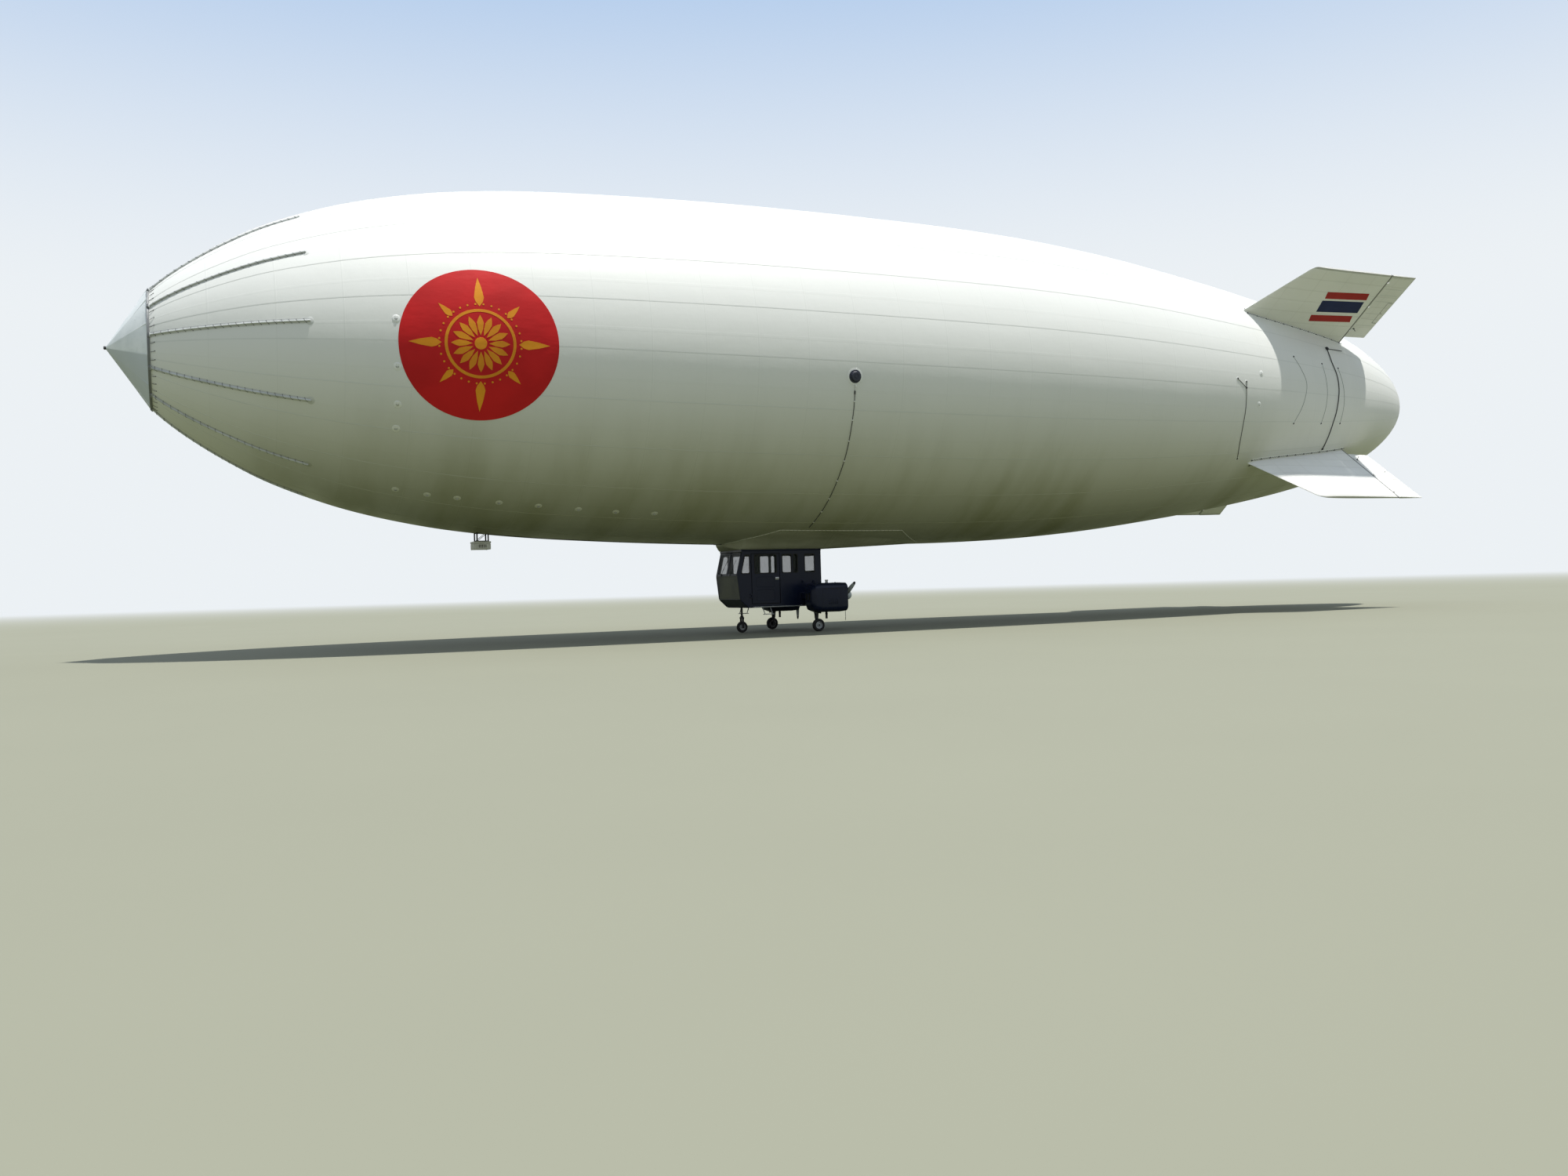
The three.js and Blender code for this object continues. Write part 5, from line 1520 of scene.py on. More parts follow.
def rear_hatch():
    shape = slab((0.006, 0.46, 0.30), 0.0025, fixed(REAR_WALL + 2, 0, 1330))
    louvre = slab((0.010, 0.15, 0.010), 0.003, spun(math.radians(25), "Y"))
    gather(shape, louvre, [fixed(REAR_WALL + 10, y, 1190 + 46 * i) for i in range(7) for y in (-200, 200)])
    hinge = slab((0.010, 0.05, 0.016), 0.003)
    return gather(shape, hinge, [fixed(REAR_WALL + 6, y, 1636) for y in (-300, 300)])


def on_rear(y, z):
    return drawn(REAR_WALL, y, z)


rear_window = [on_rear(*corner) for corner in upright(-520, 520, 1900, 2400)]
for name, shape, finish in (
    ("windshield_frame", windshield_frame(), NAVY),
    ("windshield_wipers", wipers(), DARK_STEEL),
    ("nose_panel_rivets", nose_rivets(), NAVY),
    ("nose_panel_laps", nose_laps(), NAVY),
    ("rear_hatch", rear_hatch(), NAVY),
    ("rear_rivets", riveted(bmesh.new(), REAR_RIVETS, AFT, on_rear), NAVY),
    ("rear_gasket", gasket(bmesh.new(), rear_window, AFT), RUBBER),
):
    piece(name, shape, finish, "dark_metal" if finish == DARK_STEEL else "navy_paint")

# Doors.
# Each door is a pressed panel with its own window, hung on two hinges ahead of it. It shuts against a
# rubber seal on the cabin's frame, and has a flush plate with a lever handle near its rear edge.
# Rows of rivets 28 mm inside the panel's edge.
DOOR_RIVETS = [(17638, 948, 18532, 948), (17638, 1815, 18532, 1815), (18532, 1004, 18532, 1775),
               (17694, 1700, 17694, 1004)]


def door_gasket():
    return gasket(bmesh.new(), [on_side(x, z) for x, z in upright(17710, 18460)])


def door_pressing():
    """Two pressed fields that stiffen the sheet below the window."""
    shape = bmesh.new()
    for low, high in ((1010, 1370), (1430, 1760)):
        corners = [on_side(x, z) for x, z in upright(17760, 18380, low, high)]
        surround(shape, corners, PORT, 0.004, 0.010, 0.040, 0.0040)
    return shape


def door_handle():
    shape = slab((0.062, 0.004, 0.040), 0.0018, shift(*on_side(18475, 1690, 3)))
    rod(shape, [on_side(18500, 1690), on_side(18500, 1690, 26)], 0.0058, 12)
    rod(shape, [on_side(18506, 1690, 26), on_side(18424, 1684, 24)], 0.0042, 12)
    return gather(shape, dome(0.0045, 0.002, 12), [facing(on_side(18500, 1655, 5), PORT)])


def door_seal():
    corners = [drawn(x, 803, z) for x, z in upright(17590, 18580, 900, 2480)]
    return surround(bmesh.new(), corners, -PORT, 0.006, 0.014, 0.016, 0.0035)


dressed(NAVY, *sided("door"))
both("door_gasket", pair(door_gasket), RUBBER, "navy_paint", "door")
both("door_pressing", pair(door_pressing), NAVY, "navy_paint", "door")
both("door_rivets", pair(lambda: riveted(bmesh.new(), DOOR_RIVETS, PORT)), NAVY, "navy_paint", "door")
both("door_handle", pair(door_handle), BRIGHT_STEEL, "dark_metal", "door")
both("door_seal", pair(door_seal), RUBBER, "navy_paint")

# Glazing.
# Clear acrylic panes held behind the openings by clamped strips. They are slightly smoked, with a thin
# uneven film of dust.
def glazing_finish():
    made, at = finish_of("clear_acrylic", IOR=1.49)
    dust = at.noise(3, 3).smooth(0.45, 0.9)
    colour = dust.mix((0.03, 0.045, 0.038, 1), (0.09, 0.10, 0.085, 1))
    return paint(made, colour, 0.04 + 0.07 * dust, None, Alpha=0.27 + 0.06 * dust)


dressed(glazing_finish(), "windshield", "glass_rear", *sided("glass_quarter", "glass_aft", "glass_door"))

# Seats.
# Two front seats and a bench on bent tube frames. Each has a foam cushion and back in grained black
# upholstery with sewn channels and piping round the edges. The foam is swelled by a cloth simulation.
FLOOR_TOP = 880
CUSHION_THICK = 0.058
BACK_THICK = 0.050
SWELL_CAP = 0.011
SEAM_REACH = 0.035
VOXEL = 0.0065
PAD_BEVEL = 0.014
CHANNEL_DEPTH = 0.0065
# Seat: front edge, middle to port, width, sewn channels.
SEATS = {
    "seat_pilot": (17900, 400, 460, 3),
    "seat_copilot": (17900, -400, 460, 3),
    "seat_bench": (18950, 0, 1300, 9),
}


def clamped(share):
    return min(max(share, 0), 1)


def swelled(name, size):
    """A foam pad: a rounded block swelled by air pressure, with its seam line held still."""
    block = slab(size, PAD_BEVEL, segments=4)
    mesh = bpy.data.meshes.new(name)
    block.to_mesh(mesh)
    block.free()
    pad = placed(name, mesh)
    bpy.context.view_layer.objects.active = pad
    grid = pad.modifiers.new("grid", "REMESH")
    grid.mode, grid.voxel_size = "VOXEL", VOXEL
    bpy.ops.object.modifier_apply(modifier="grid")
    before = [v.co.copy() for v in pad.data.vertices]
    cloth = pad.modifiers.new("foam", "CLOTH")
    cloth.settings.use_pressure = True
    cloth.settings.uniform_pressure_force = 4
    cloth.settings.effector_weights.gravity = 0
    for number in range(1, 21):
        bpy.context.scene.frame_set(number)
    bpy.ops.object.modifier_apply(modifier="foam")
    bpy.context.scene.frame_set(1)
    half = Vector(size) / 2
    for vertex, start in zip(pad.data.vertices, before):
        # The seam runs round the pad's outline in the plane of its larger faces.
        free = clamped(min(half.x - abs(start.x), half.y - abs(start.y)) / SEAM_REACH)
        free = free * free * (3 - 2 * free)
        move = vertex.co - start
        vertex.co = start + move.normalized() * min(move.length, SWELL_CAP) * free
    shape = bmesh.new()
    shape.from_mesh(pad.data)
    bpy.data.objects.remove(pad)
    bpy.data.meshes.remove(mesh)
    axes = {f"use_axis_{axis}": True for axis in "xyz"}
    bmesh.ops.smooth_vert(shape, verts=shape.verts, factor=0.5, **axes)
    return shape


def channelled(shape, size, channels):
    """Presses sewn channels into the top face, across the pad's width."""
    for vertex in shape.verts:
        share = (vertex.co.y / size[1] + 0.5) * channels
        if vertex.co.z > 0 and 0 < round(share) < channels:
            gap = abs(share - round(share)) * size[1] / channels
            edge = clamped((size[0] / 2 - abs(vertex.co.x)) / 0.02)
            vertex.co.z -= CHANNEL_DEPTH * math.exp(-((gap / 0.0055) ** 2)) * edge
    return shape


def pad_piping(size, place):
    """Piping sewn round the pad's outline at its top and bottom edges."""
    x, y, z = Vector(size) / 2 - Vector((0.001, 0.001, 0.006))
    shape = bmesh.new()
    for height in (z, -z):
        loop = rounded([Vector((*corner, height)) for corner in upright(-x, x, -y, y)], 0.016)
        rod(shape, [place @ p for p in loop + loop[:2]], 0.0026)
    return shape


def seat_frame(front, middle, width):
    shape = bmesh.new()
    flanks = (middle - width / 2 + 45, middle + width / 2 - 45)
    bent_tube = [(90, 12), (95, 285), (120, 305), (430, 300), (500, 330), (625, 960)]
    for y in flanks:
        for line in (bent_tube, [(430, 12), (430, 300)]):
            tubes(shape, (0.0065, 12, *[(front + x, y, FLOOR_TOP + z) for x, z in line]))
    feet = [fixed(front + x, y, FLOOR_TOP + 8) for x in (90, 430) for y in flanks]
    gather(shape, slab((0.030, 0.024, 0.006), 0.002), feet)
    for x, z in ((120, 300), (430, 298), (560, 640), (622, 945)):
        tubes(shape, (0.0055, 12, *[(front + x, y, FLOOR_TOP + z) for y in flanks]))
    return shape


def upholstery_finish():
    made, at = finish_of("seat_leathercloth", Sheen_Weight=0.1)
    grain = at.noise(240, 4)
    crease = at.noise(26, 5, (1, 0.5, 1)).smooth(0.55, 0.7)
    worn = at.noise(7, 4).smooth(0.45, 0.75)
    colour = worn.mix((0.020, 0.021, 0.024, 1), (0.042, 0.043, 0.046, 1))
    return paint(made, colour, 0.52 - 0.14 * worn + 0.1 * grain, grain + 0.6 * crease, 0.0011)


UPHOLSTERY = upholstery_finish()
PIPING_CORD = rubber_finish("seat_piping", (0.06, 0.06, 0.065, 1), (0.12, 0.12, 0.12, 1))
for name, (front, middle, width, channels) in SEATS.items():
    seat = fixed(front + 232, middle, FLOOR_TOP + 362) @ spun(math.radians(4), "Y")
    rest = fixed(front + 508, middle, FLOOR_TOP + 712) @ spun(math.radians(-100.5), "Y")
    across = width / DRAWING_SCALE - 0.016
    for part, size, place, fill, stands_for in (
        ("cushion", (0.232, across, CUSHION_THICK), seat, 0.85, [name]),
        ("back", (0.285, across, BACK_THICK), rest, 0.8, ()),
    ):
        shape = channelled(swelled(f"{name}_{part}", size), size, channels)
        bmesh.ops.transform(shape, matrix=place, verts=shape.verts)
        pad = piece(f"{name}_{part}", shape, UPHOLSTERY, "seat_leather", crease=70, stands_for=stands_for)
        piece(f"{name}_{part}_piping", pad_piping(size, place), PIPING_CORD, "seat_leather")
    piece(f"{name}_frame", seat_frame(front, middle, width), DARK_STEEL, "dark_metal")

# Instrument panel and controls.
# A black panel with a rolled hood, groups of round dials, a row of switches and four power levers. A
# hand wheel on a column stands before each front seat. None of it moves.
DASH_FACE = 17560
# Dial: distance to port and height.
DIALS = [(y + group, z) for group in (-330, 330) for y in (-150, 0, 150) for z in (1600, 1455)]
DIALS += [(-75, 1600), (75, 1600), (-75, 1455), (75, 1455)]
BEZEL = [(0.022, -0.002), (0.026, 0.001), (0.026, 0.004), (0.023, 0.005), (0.021, 0.002), (0.021, -0.002)]
DIAL_FACE = [(0, -0.002), (0.0215, -0.002), (0.0215, 0.0012), (0, 0.0012)]


def on_dash(y, z):
    """A frame on the panel, with X to starboard."""
    return facing(drawn(DASH_FACE, y, z), AFT, -PORT)


def dash_hood():
    """A sheet bent over the top of the panel, with a lip that shades the dials."""
    outline = [(17262, 1690), (17262, 1712), (17330, 1722), (17600, 1722), (17622, 1706), (17622, 1690),
               (17606, 1698), (17590, 1704)]
    return skin([[drawn(x, y, z) for x, z in outline] for y in steps(-618, 618, 123.6)])


def dial_marks():
    ticks = [seat @ spun(turn) @ shift(0.0175, 0, 0.0014) for seat in dial_seats for turn in around(12)]
    needles = [seat @ spun(2.1 * k + 0.4) @ shift(0.006, 0, 0.0019) for k, seat in enumerate(dial_seats)]
    shape = laid(slab((0.004, 0.0010, 0.0006), 0.0002, segments=1), ticks)
    return gather(shape, slab((0.016, 0.0014, 0.0006), 0.0002, segments=1), needles)


def switches():
    shape = bmesh.new()
    for i in range(18):
        seat = on_dash(-510 + 60 * i, 1368)
        foot = seat.translation
        rod(shape, [foot, foot + Vector((0.009, 0, 0.003 if i % 3 else -0.003))], 0.0024)
        gather(shape, dome(0.0055, 0.002, 12), [seat])
    return shape


def power_levers():
    shape = bmesh.new()
    for y, lean in ((-75, 0), (-25, 18), (25, 0), (75, 18)):
        tubes(shape, (0.0032, 8, (17540, y, 1380), (17590 + lean, y, 1470)))
        gather(shape, slab((0.013, 0.015, 0.018), 0.005, segments=3), [fixed(17590 + lean, y, 1470)])
    return shape


def hand_wheel(y):
    """A wheel on a column that leans back from the floor."""
    foot, hub = drawn(17600, y, 885), drawn(17730, y, 1395)
    shape = rod(bmesh.new(), [foot, hub], 0.008, 12)
    seat = facing(hub, hub - foot, -PORT)

    def spot(radius, turn):
        return seat @ Vector((radius * math.cos(turn), radius * math.sin(turn), 0.006))

    circle = [spot(0.075, turn) for turn in steps(0, 2 * math.pi, 0.16)]
    rod(shape, circle + circle[1:2], 0.0058, 12)
    for turn in around(3):
        rod(shape, [seat @ Vector((0, 0, 0.004)), spot(0.073, turn + 0.5)], 0.004)
    return gather(shape, dome(0.016, 0.010, 16), [seat])


CRACKLE = moulded_finish("black_crackle", (0.016, 0.016, 0.017, 1), (0.035, 0.035, 0.036, 1), 0.6)
DIAL_BLACK = moulded_finish("dial_face", (0.006, 0.006, 0.007, 1), (0.012, 0.012, 0.013, 1), 0.25)
dial_seats = [on_dash(*spot) for spot in DIALS]
mat_edges = [(740, 881), (740, 889), (-740, 889), (-740, 881)]
dressed(CRACKLE, "instrument_panel")
for name, shape, finish in (
    ("dash_hood", dash_hood(), RUBBER),
    ("dial_bezels", laid(lathe(BEZEL + BEZEL[:1], 24), dial_seats), CRACKLE),
    ("dial_faces", laid(lathe(DIAL_FACE, 24), dial_seats), DIAL_BLACK),
    ("dial_marks", dial_marks(), WHITE_PLASTIC),
    ("dash_switches", switches(), BRIGHT_STEEL),
    ("power_levers", power_levers(), CRACKLE),
    ("floor_mat", skin([[drawn(x, y, z) for y, z in mat_edges] for x in (17640, 19900)]), RUBBER),
):
    piece(name, shape, finish, "panel_plastic")
both("hand_wheel", [hand_wheel(400), hand_wheel(-400)], CRACKLE, "panel_plastic")

# Outriggers.
# A box beam of riveted sheet carries each nacelle. It is bolted to the cabin's side and to the nacelle
# through flanges, and steadied by four struts.
BEAM_FRONT, BEAM_BACK, BEAM_LOW, BEAM_HIGH = 19300, 19800, 1030, 1190
NACELLE_INNER = 1300
RIVETS_INSET = 24


def flange(y, out):
    """A flange plate round the beam's end, with its bolts."""
    corners = [drawn(x, y, z) for x, z in upright(BEAM_FRONT, BEAM_BACK, BEAM_LOW, BEAM_HIGH)]
    shape = surround(bmesh.new(), corners, out, 0.017, 0.0, 0.008, 0.005)
    bolts = [facing(drawn(x, y, z) + out * 0.004, out) for z in (BEAM_LOW - 17, BEAM_HIGH + 17)
             for x in (BEAM_FRONT - 16, (BEAM_FRONT + BEAM_BACK) / 2, BEAM_BACK + 16)]
    return gather(shape, dome(0.0055, 0.004, 6), bolts)


def outrigger_rivets():
    shape = bmesh.new()
    across, upwards = [[(edge, 880, edge, 1270) for edge in (low + RIVETS_INSET, high - RIVETS_INSET)]
                       for low, high in ((BEAM_FRONT, BEAM_BACK), (BEAM_LOW, BEAM_HIGH))]
    for z, out in ((BEAM_HIGH, UP), (BEAM_LOW, -UP)):
        riveted(shape, across, out, lambda x, y: drawn(x, y, z))
    for x, out in ((BEAM_FRONT, -AFT), (BEAM_BACK, AFT)):
        riveted(shape, upwards, out, lambda z, y: drawn(x, y, z))
    return shape


def outrigger_struts():
    shape = bmesh.new()
    for x in (19360, 19740):
        tubes(shape, (0.0085, 12, (x, 852, 860), (x, 1180, 1028)),
              (0.0070, 12, (x, 852, 1600), (x, 1200, 1192)))
        gather(shape, slab((0.032, 0.006, 0.032), 0.002), [fixed(x, 856, z) for z in (862, 1596)])
        gather(shape, slab((0.032, 0.032, 0.006), 0.002), [fixed(x, 1180, 1026), fixed(x, 1200, 1194)])
    return shape


dressed(NAVY, *sided("outrigger"))
flanges = pair(lambda: gather(flange(CABIN_SKIN, PORT), flange(NACELLE_INNER, -PORT)))
both("outrigger_flanges", flanges, NAVY, "navy_paint")
both("outrigger_rivets", pair(outrigger_rivets), NAVY, "navy_paint")
both("outrigger_struts", pair(outrigger_struts), NAVY, "navy_paint")

# Nacelles.
# A hollow cowling of sheet metal round each engine, with a rounded inlet end, split lines and latches,
# cooling louvres, a bright cap on top, and an exhaust stub out of the bottom.
ENGINE_LINE = ENGINE_Y, ENGINE_Z = 1700, 1105
# Sections: station, half width, bottom, top.
NACELLE = [
    (19120, 205, 845, 1315), (19128, 232, 818, 1342), (19150, 262, 785, 1375), (19220, 350, 670, 1460),
    (19420, 400, 600, 1505), (20100, 400, 600, 1505), (20308, 386, 619, 1496), (20320, 376, 629, 1486),
]
COWL_FRONT, COWL_BACK = NACELLE[0][0], NACELLE[-1][0]
SHOULDER, SHOULDER_LENGTH = NACELLE[3][0], 200
NACELLE_WALL = 20
NACELLE_CORNER = 0.45
CORNER_POINTS = 10
SHAFT_HOLE = 170
COWL_SPLITS = (19430, 20060)


def cowl_section(x):
    """Half width, bottom and top of the cowling. The shoulder behind the inlet end is full, not flat."""
    share = (x - SHOULDER) / SHOULDER_LENGTH
    bulge = max(12 * share * (1 - share), 0)
    half, low, high = between(NACELLE, x)
    return half + bulge, low - bulge, high + bulge


def cowl_ring(x, grow=0):
    """Round the cowling's section: four corners of a rounded rectangle."""
    half, low, high = cowl_section(min(max(x, COWL_FRONT), COWL_BACK))
    corner = NACELLE_CORNER * half + min(grow, 0)
    flat, low, high = half + grow - corner, low - grow + corner, high + grow - corner
    ring = []
    for quarter, (across, centre) in enumerate(((1, high), (-1, high), (-1, low), (1, low))):
        for k in range(CORNER_POINTS):
            turn = (quarter + k / (CORNER_POINTS - 1)) * math.pi / 2
            y = ENGINE_Y + across * flat + corner * math.cos(turn)
            ring.append(drawn(x, y, centre + corner * math.sin(turn)))
    return ring


def hole_ring(x, radius):
    """The shaft's hole, with its points in line with those of the cowling's last ring."""
    centre = drawn(COWL_BACK, *ENGINE_LINE)
    return [drawn(x, *ENGINE_LINE) + (point - centre).normalized() * radius / DRAWING_SCALE
            for point in cowl_ring(COWL_BACK)]


def cowling():
    stations = [row[0] for row in NACELLE[:4]] + steps(19250, 19420, 34)[:-1] + steps(19420, 20100, 68)
    stations += [20200, 20308, COWL_BACK]
    first, last = COWL_FRONT + NACELLE_WALL, COWL_BACK - NACELLE_WALL
    inside = [first] + [x for x in stations if first < x < last] + [last]
    edge = [(last, SHAFT_HOLE), (COWL_BACK - 4, SHAFT_HOLE), (COWL_BACK, SHAFT_HOLE + 4)]
    return skin([cowl_ring(x, -NACELLE_WALL) for x in inside] + [hole_ring(*ring) for ring in edge]
                + [cowl_ring(x) for x in stations[::-1]])


def cowl_lines():
    """Dark rods along the splits between the cowling's panels: painted shade in the gaps."""
    rings = [cowl_ring(x, -1) for x in COWL_SPLITS]
    paths = [ring + ring[:1] for ring in rings]
    paths += [[cowl_ring(x, -1)[k] for x in steps(*COWL_SPLITS, 90)] for k in (0, 2 * CORNER_POINTS - 1)]
    shape = bmesh.new()
    for path in paths:
        rod(shape, path, 0.0018, 4)
    return shape


def cowl_latches():
    """Toggle latches over the lengthwise splits, and screws round the others."""
    latch = gather(slab((0.040, 0.012, 0.006), 0.002), slab((0.012, 0.016, 0.010), 0.003, shift(0.012, 0, 0)))
    shape = laid(latch, [facing(cowl_ring(x, 2)[k], out) for x in (19560, 19750, 19940)
                         for k, out in ((0, PORT), (2 * CORNER_POINTS - 1, -PORT))])
    screws = [facing(point, point - drawn(x, *ENGINE_LINE))
              for x in (COWL_SPLITS[0] - 22, COWL_SPLITS[1] + 22)
              for point in cowl_ring(x)[1::3]]
    return gather(shape, dome(0.0034, 0.002, 6), screws)


def cowl_louvres():
    scoop = slab((0.014, 0.090, 0.012), 0.004, spun(math.radians(-18), "Y"), 3)
    return laid(scoop, [facing(drawn(19640 + 44 * i, y, 930), out)
                        for y, out in ((ENGINE_Y + 400, PORT), (ENGINE_Y - 400, -PORT)) for i in range(8)])


def inlet_lips():
    """Frames round the two mouths in the front face."""
    shape = bmesh.new()
    for y in (ENGINE_Y - 95, ENGINE_Y + 95):
        corners = [drawn(COWL_FRONT, *corner) for corner in upright(y - 72, y + 72, 960, 1200)]
        surround(shape, corners, -AFT, 0.008, 0.006, 0.026, 0.006)
    return shape


def inlet_grille():
    # A near-black plate fills each mouth behind the bars: painted shade for the inlet's inside. The bars are
    # black.
    plates = [fixed(COWL_FRONT + 2, y, 1080) for y in (ENGINE_Y - 95, ENGINE_Y + 95)]
    bars = [plate @ shift(-0.0035, 0, 0.016 * k) for plate in plates for k in range(-3, 4)]
    return gather(laid(slab((0.005, 0.072, 0.120), 0.002), plates), slab((0.004, 0.070, 0.004), 0.001), bars)


def collar(x, y, outline, facets):
    """A closed outline of (radius, height) turned about an upright line of the drawing."""
    points = [drawn(x + radius, y, z) for radius, z in outline]
    return turned(points + points[:1], drawn(x, y, 0), UP, facets)


def exhaust():
    outline = [(26, 600), (26, 392), (30, 390), (35, 392), (35, 520), (40, 524), (40, 556), (35, 560),
               (35, 612), (26, 612)]
    return collar(19740, ENGINE_Y, outline, 28)


def filler_cap():
    outline = [(0, 0), (0.024, 0), (0.024, 0.012), (0.020, 0.014), (0.020, 0.030), (0.026, 0.032),
               (0.026, 0.046), (0.022, 0.050), (0, 0.050)]
    return laid(lathe(outline, 20), [fixed(19741, ENGINE_Y + 60, 1500)])


def iron_finish():
    made, at = finish_of("engine_casting", Metallic=0.4)
    oil = at.noise(9, 5).smooth(0.4, 0.75)
    colour = oil.mix((0.10, 0.10, 0.105, 1), (0.03, 0.027, 0.024, 1))
    return paint(made, colour, 0.6 - 0.15 * oil, at.noise(120, 4), 0.0012)


dressed(iron_finish(), *sided("engine"))
both("cowling", pair(cowling), NAVY, "navy_paint", stands_for="nacelle", crease=35)
for name, make, finish, slot in (
    ("cowl_lines", cowl_lines, GAP_SHADE_AND_BLACK, "dark_metal"),
    ("cowl_latches", cowl_latches, DARK_STEEL, "dark_metal"),
    ("cowl_louvres", cowl_louvres, NAVY, "navy_paint"),
    ("inlet_lips", inlet_lips, NAVY, "navy_paint"),
    ("inlet_grille", inlet_grille, GAP_SHADE_AND_BLACK, "dark_metal"),
    ("exhaust", exhaust, DARK_STEEL, "dark_metal"),
    ("filler_cap", filler_cap, BRIGHT_STEEL, "wheel_metal"),
):
    both(name, pair(make), finish, slot)

# Propellers.
# Three twisted blades of pale painted wood with dark tips, held in a pale spinner behind each nacelle.
# They turn with the engine's shaft.
PROPELLER_FRONT = 20345
BLADE_PLANE = 20412
SPINNER_RADIUS = 150
SPINNER_BEND = 20470
SPINNER_TIP = 20630
TIP_LINE = (0.348, 0.352)
# Blade sections: radius, chord, thickness, angle from the disc in degrees.
BLADE = [(90, 112, 46, 42), (210, 138, 34, 35), (330, 142, 26, 30), (475, 134, 21.5, 25), (620, 118, 18, 21),
         (720, 94, 15, 19), (775, 72, 12, 17.6), (795, 46, 9, 17.2), (800, 18, 5, 17)]
CUFF = [(0.030, 0), (0.036, 0), (0.036, 0.005), (0.033, 0.008), (0.030, 0.008), (0.030, 0)]


def blade_ring(radius, chord, thickness, degrees):
    """An aerofoil section set at its angle: a rounded leading edge and a fine trailing edge."""
    angle = math.radians(degrees)
    ring = []
    for turn in around(28):
        side = 1 if turn < math.pi else -1
        forward = side * math.cos(turn % math.pi) / 2
        aft = max(0.5 - forward, 0)
        thick = side * 1.3 * (0.6 * math.sqrt(aft) - 0.2 * aft - 0.4 * aft**2) * thickness
        wide = -forward * chord
        ring.append(Vector((wide * math.sin(angle) + thick * math.cos(angle),
                            thick * math.sin(angle) - wide * math.cos(angle), radius)) / DRAWING_SCALE)
    return ring


def blades():
    sections = []
    for near, far in zip(BLADE, BLADE[1:]):
        shares = (0, 0.25, 0.5, 0.75) if far[0] - near[0] > 60 else (0,)
        sections += [[a + (b - a) * share for a, b in zip(near, far)] for share in shares]
    return laid(skin([blade_ring(*section) for section in sections + BLADE[-1:]]), blade_places)


def spinner():
    """The spinner's shell with its back plate, and a cuff round each blade's root."""
    plate = [(0, 62), (0, 146), (4, SPINNER_RADIUS), (14, SPINNER_RADIUS), (16, 147), (20, 147)]
    plate += [(22, SPINNER_RADIUS)]
    outline = [(PROPELLER_FRONT + x, r) for x, r in plate] + [(SPINNER_BEND, SPINNER_RADIUS)]
    length = SPINNER_TIP - SPINNER_BEND
    outline += [(SPINNER_BEND + length * math.sin(turn), SPINNER_RADIUS * math.cos(turn) ** 0.9)
                for turn in steps(0, math.pi / 2, math.pi / 20)[1:]]
    points = [drawn(x, ENGINE_Y, ENGINE_Z + r) for x, r in outline + [(20440, 0), (20440, 62)]]
    shape = turned(points + points[:1], drawn(0, *ENGINE_LINE), AFT, 40)
    return gather(shape, lathe(CUFF, 24), [place @ shift(0, 0, 0.0735) for place in blade_places])


def blade_finish():
    """Pale paint, dark beyond the tip line, with nicks and exhaust stain."""
    made, at = finish_of("blade_paint", Coat_Weight=0.3, Coat_Roughness=0.2)
    _, y, z = at.split()
    radius = from_axis(y.math("ABSOLUTE"), z, ENGINE_Y / DRAWING_SCALE, ENGINE_Z / DRAWING_SCALE)
    soot = at.noise(12, 5).smooth(0.45, 0.8)
    pale = (soot * 0.5).mix((0.60, 0.65, 0.68, 1), (0.34, 0.36, 0.37, 1))
    colour = radius.smooth(*TIP_LINE).mix(pale, (0.020, 0.021, 0.024, 1))
    return paint(made, colour, 0.32 + 0.2 * soot, at.noise(40, 4, (1, 1, 0.2)), 0.0008)


BLADE_PAINT = blade_finish()
blade_places = [fixed(BLADE_PLANE, *ENGINE_LINE) @ spun(turn, "X") for turn in around(3, 1.5)]
both("blades", pair(blades), BLADE_PAINT, "propeller_white", "propeller", "propeller")
both("spinner", pair(spinner), BLADE_PAINT, "propeller_white", "propeller", crease=30)

# Wheels.
# Cast rims with a ring of nuts, and black tyres with three grooves. The main wheels have a brake drum
# inboard. All ride on the bodies that roll.
# Wheel: station, middle to port, radius, width, rim radius, rim width, body, names of tyre and rim.
WHEELS = {
    "main_port": (19450, 1700, 200, 130, 110, 100, "main_wheel_port", "main_tyre_port", "main_rim_port"),
    "main_starboard": (19450, -1700, 200, 130, 110, 100,
                       "main_wheel_starboard", "main_tyre_starboard", "main_rim_starboard"),
    "nose": (17600, 0, 180, 110, 95, 86, "nose_wheel", "nose_tyre", "nose_rim"),
}
# Sections by across and radius. The tread's is in millimetres below its top, the others are in shares.
TREAD = [(0, 7), (2.5, 7), (2.5, 0)]
GROOVE = [(-2.5, 0.6), (-2.5, 7), (2.5, 7), (2.5, 1.4)]
SIDEWALL = [(0.62, 0.93), (0.80, 0.83), (0.93, 0.70), (1, 0.50), (0.985, 0.36), (0.90, 0.18), (0.86, 0.16)]
RIM = [(-1, 0.40), (-0.3, 0.50), (-0.25, 0.80), (-0.85, 0.88), (-1, 0.97), (-1, 1.06), (-0.93, 1.08),
       (-0.86, 1.0)]


def rolled(x, z, outline, facets):
    """A closed outline of (distance to port, radius) turned about a line across the drawing."""
    points = [drawn(x, y, z + r) for y, r in outline]
    return turned(points + points[:1], drawn(x, 0, z), PORT, facets)


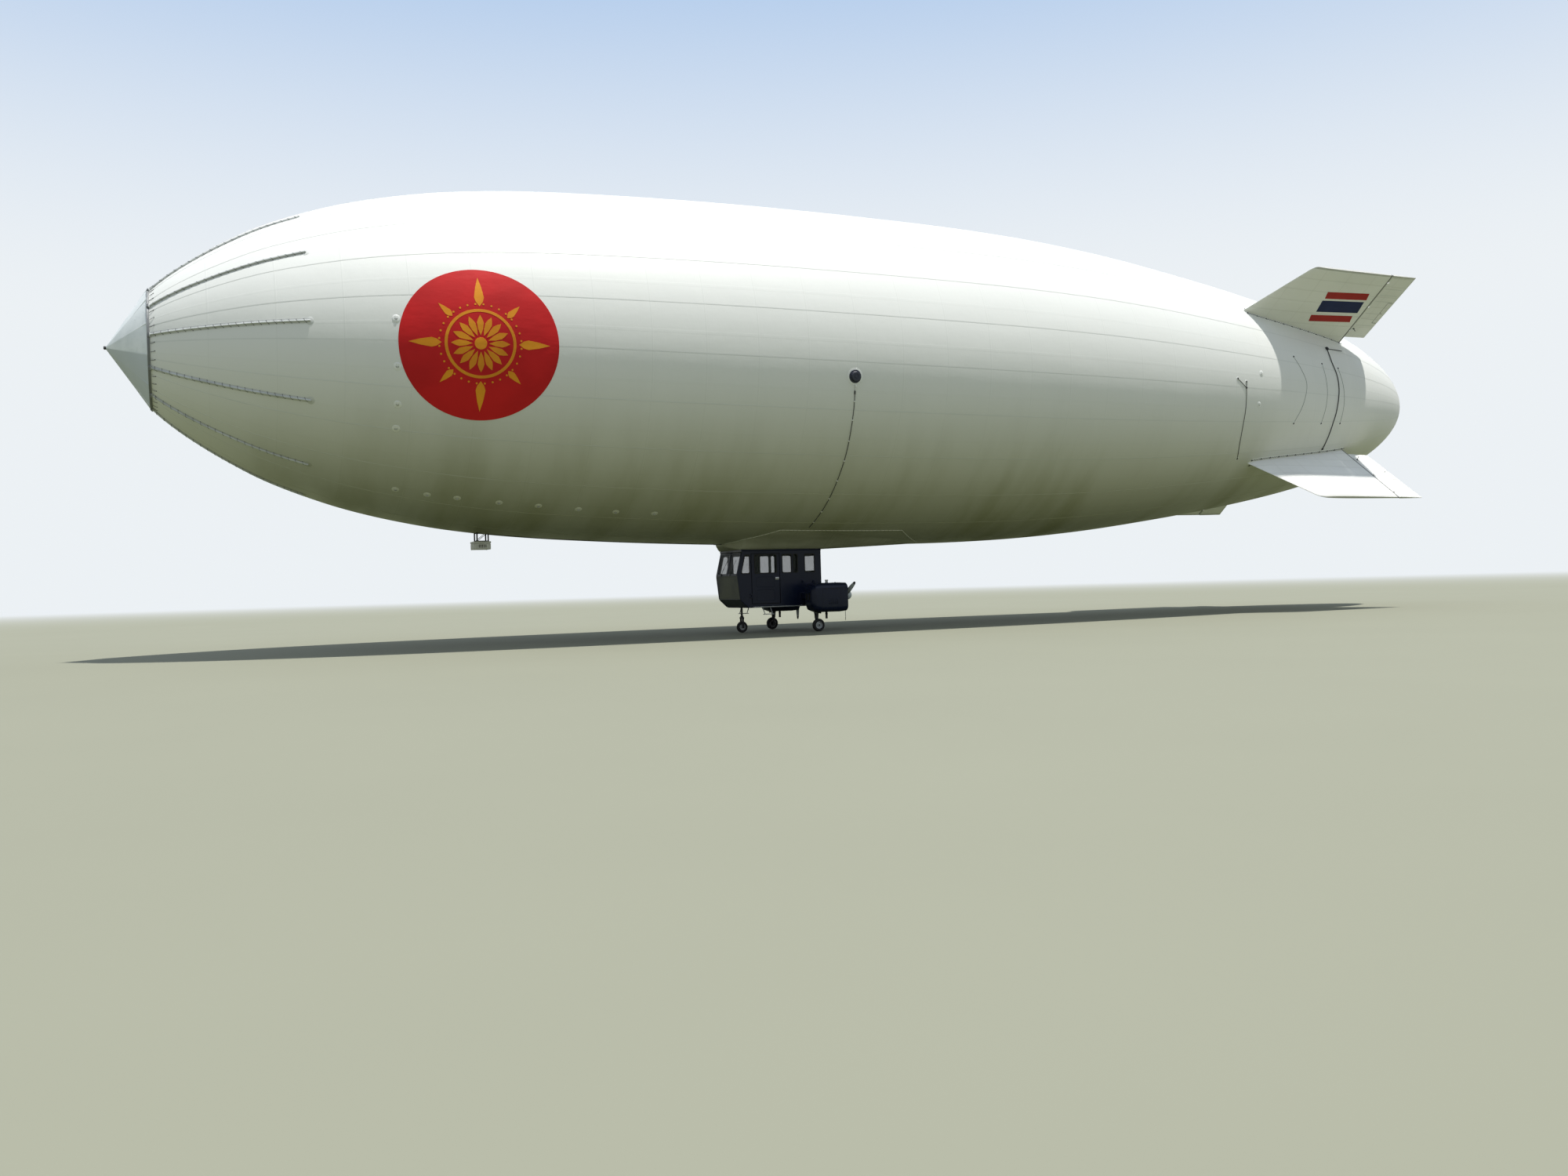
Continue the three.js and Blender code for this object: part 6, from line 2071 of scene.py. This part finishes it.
def tyre(x, y, radius, width, rim_radius):
    half, wall = width / 2, radius - rim_radius
    outline = [(a, radius - deep) for a, deep in TREAD + [(0.36 * half + b, deep) for b, deep in GROOVE]]
    outline += [(a * half, rim_radius + r * wall) for a, r in SIDEWALL] + [(0.76 * half, rim_radius + 0.6)]
    return rolled(x, radius, [(y + a, r) for a, r in outline] + [(y - a, r) for a, r in outline[:0:-1]], 72)


def rim(x, y, radius, rim_radius, rim_width):
    """The rim: flanges, a dished disc and a hub, with nuts on both faces."""
    half = rim_width / 2
    outline = [(-half, 16)] + [(a * half, r * rim_radius) for a, r in RIM]
    shape = rolled(x, radius, [(y + a, r) for a, r in outline] + [(y - a, r) for a, r in outline[::-1]], 48)
    reach = 0.62 * rim_radius

    def nut(face, turn):
        centre = drawn(x + reach * math.cos(turn), y + face * 0.28 * half, radius + reach * math.sin(turn))
        return facing(centre, PORT * face, UP)

    return gather(shape, dome(0.0052, 0.005, 6), [nut(face, turn) for face in (1, -1) for turn in around(6)])


for name, (x, y, radius, width, rim_radius, rim_width, body, tyre_node, rim_node) in WHEELS.items():
    piece(f"{name}_tyre_tread", tyre(x, y, radius, width, rim_radius), RUBBER, "tyre_rubber", body,
          stands_for=[tyre_node], crease=50)
    piece(f"{name}_rim_cast", rim(x, y, radius, rim_radius, rim_width), GREY_TUBE, "wheel_metal", body,
          stands_for=[rim_node], crease=35)
drum = [(1646, 30), (1646, 78), (1640, 84), (1614, 84), (1608, 78), (1608, 30)]
both("brake_drum", pair(rolled, 19450, 200, drum, 40), DARK_STEEL, "dark_metal", "main_wheel", crease=30)

# Landing gear legs.
# A bolted top plate and a flat leg carry each main wheel's axle, with two bungee struts and a brake line.
# The nose fork turns in a socket under the cabin's floor, with a collar, a tow eye and axle nuts.
def main_leg_fittings():
    bolts = [facing(drawn(19450 + a, 1700 + b, 560), -UP) for a in (-60, 60) for b in (-100, 36)]
    shape = laid(dome(0.0065, 0.005, 6), bolts)
    for side in (1, -1):
        tubes(shape, (0.0072, 12, (19450 + side * 50, 1578, 565), (19450 + side * 26, 1578, 250)),
              (0.0125, 16, (19450 + side * 50, 1578, 560), (19450 + side * 38, 1578, 400)))
    tubes(shape, (0.018, 6, (19450, 1548, 200), (19450, 1562, 200)),
          (0.0135, 6, (19450, 1764, 200), (19450, 1786, 200)))
    brake_line = [(19430, 1556, 560), (19438, 1546, 460), (19428, 1546, 330), (19436, 1552, 235)]
    return rod(shape, eased([drawn(*point) for point in brake_line], 20), 0.0030)


def fork_fittings():
    """Collar, tow eye and axle nuts, which turn with the fork."""
    shape = collar(17600, 0, [(35, 492), (52, 492), (56, 500), (56, 524), (52, 530), (35, 530)], 28)
    for side in (1, -1):
        tubes(shape, (0.0135, 6, (17600, side * 96, 180), (17600, side * 114, 180)),
              (0.0052, 12, (17600, side * 102, 470), (17600, side * 102, 215)))
    eye = [(17548 + 14 * math.cos(a), 26 * math.sin(a), 462) for a in steps(0.6, 2 * math.pi - 0.6, 0.4)]
    return tubes(shape, (0.0042, 8, *eye))


def socket_collar():
    """The steering socket's flange under the floor, with its bolts."""
    bolts = [facing(drawn(17600 + 74 * math.cos(turn), 74 * math.sin(turn), 792), -UP) for turn in around(6)]
    flange_ring = collar(17600, 0, [(40, 792), (92, 792), (92, 800), (40, 800)], 32)
    return gather(flange_ring, dome(0.0055, 0.004, 6), bolts)


LEG_PAINT = painted_finish("leg_paint", (0.030, 0.033, 0.040, 1), (0.07, 0.07, 0.068, 1), 0.38, 0.8)
dressed(LEG_PAINT, *sided("main_leg"), "nose_fork")
both("main_leg_fittings", pair(main_leg_fittings), DARK_STEEL, "dark_metal")
piece("nose_fork_fittings", fork_fittings(), DARK_STEEL, "dark_metal", "nose_fork")
piece("steering_socket", socket_collar(), NAVY, "navy_paint")

size = {"cad": [list(c) for c in cad_box], "visual": [list(c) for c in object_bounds()]}
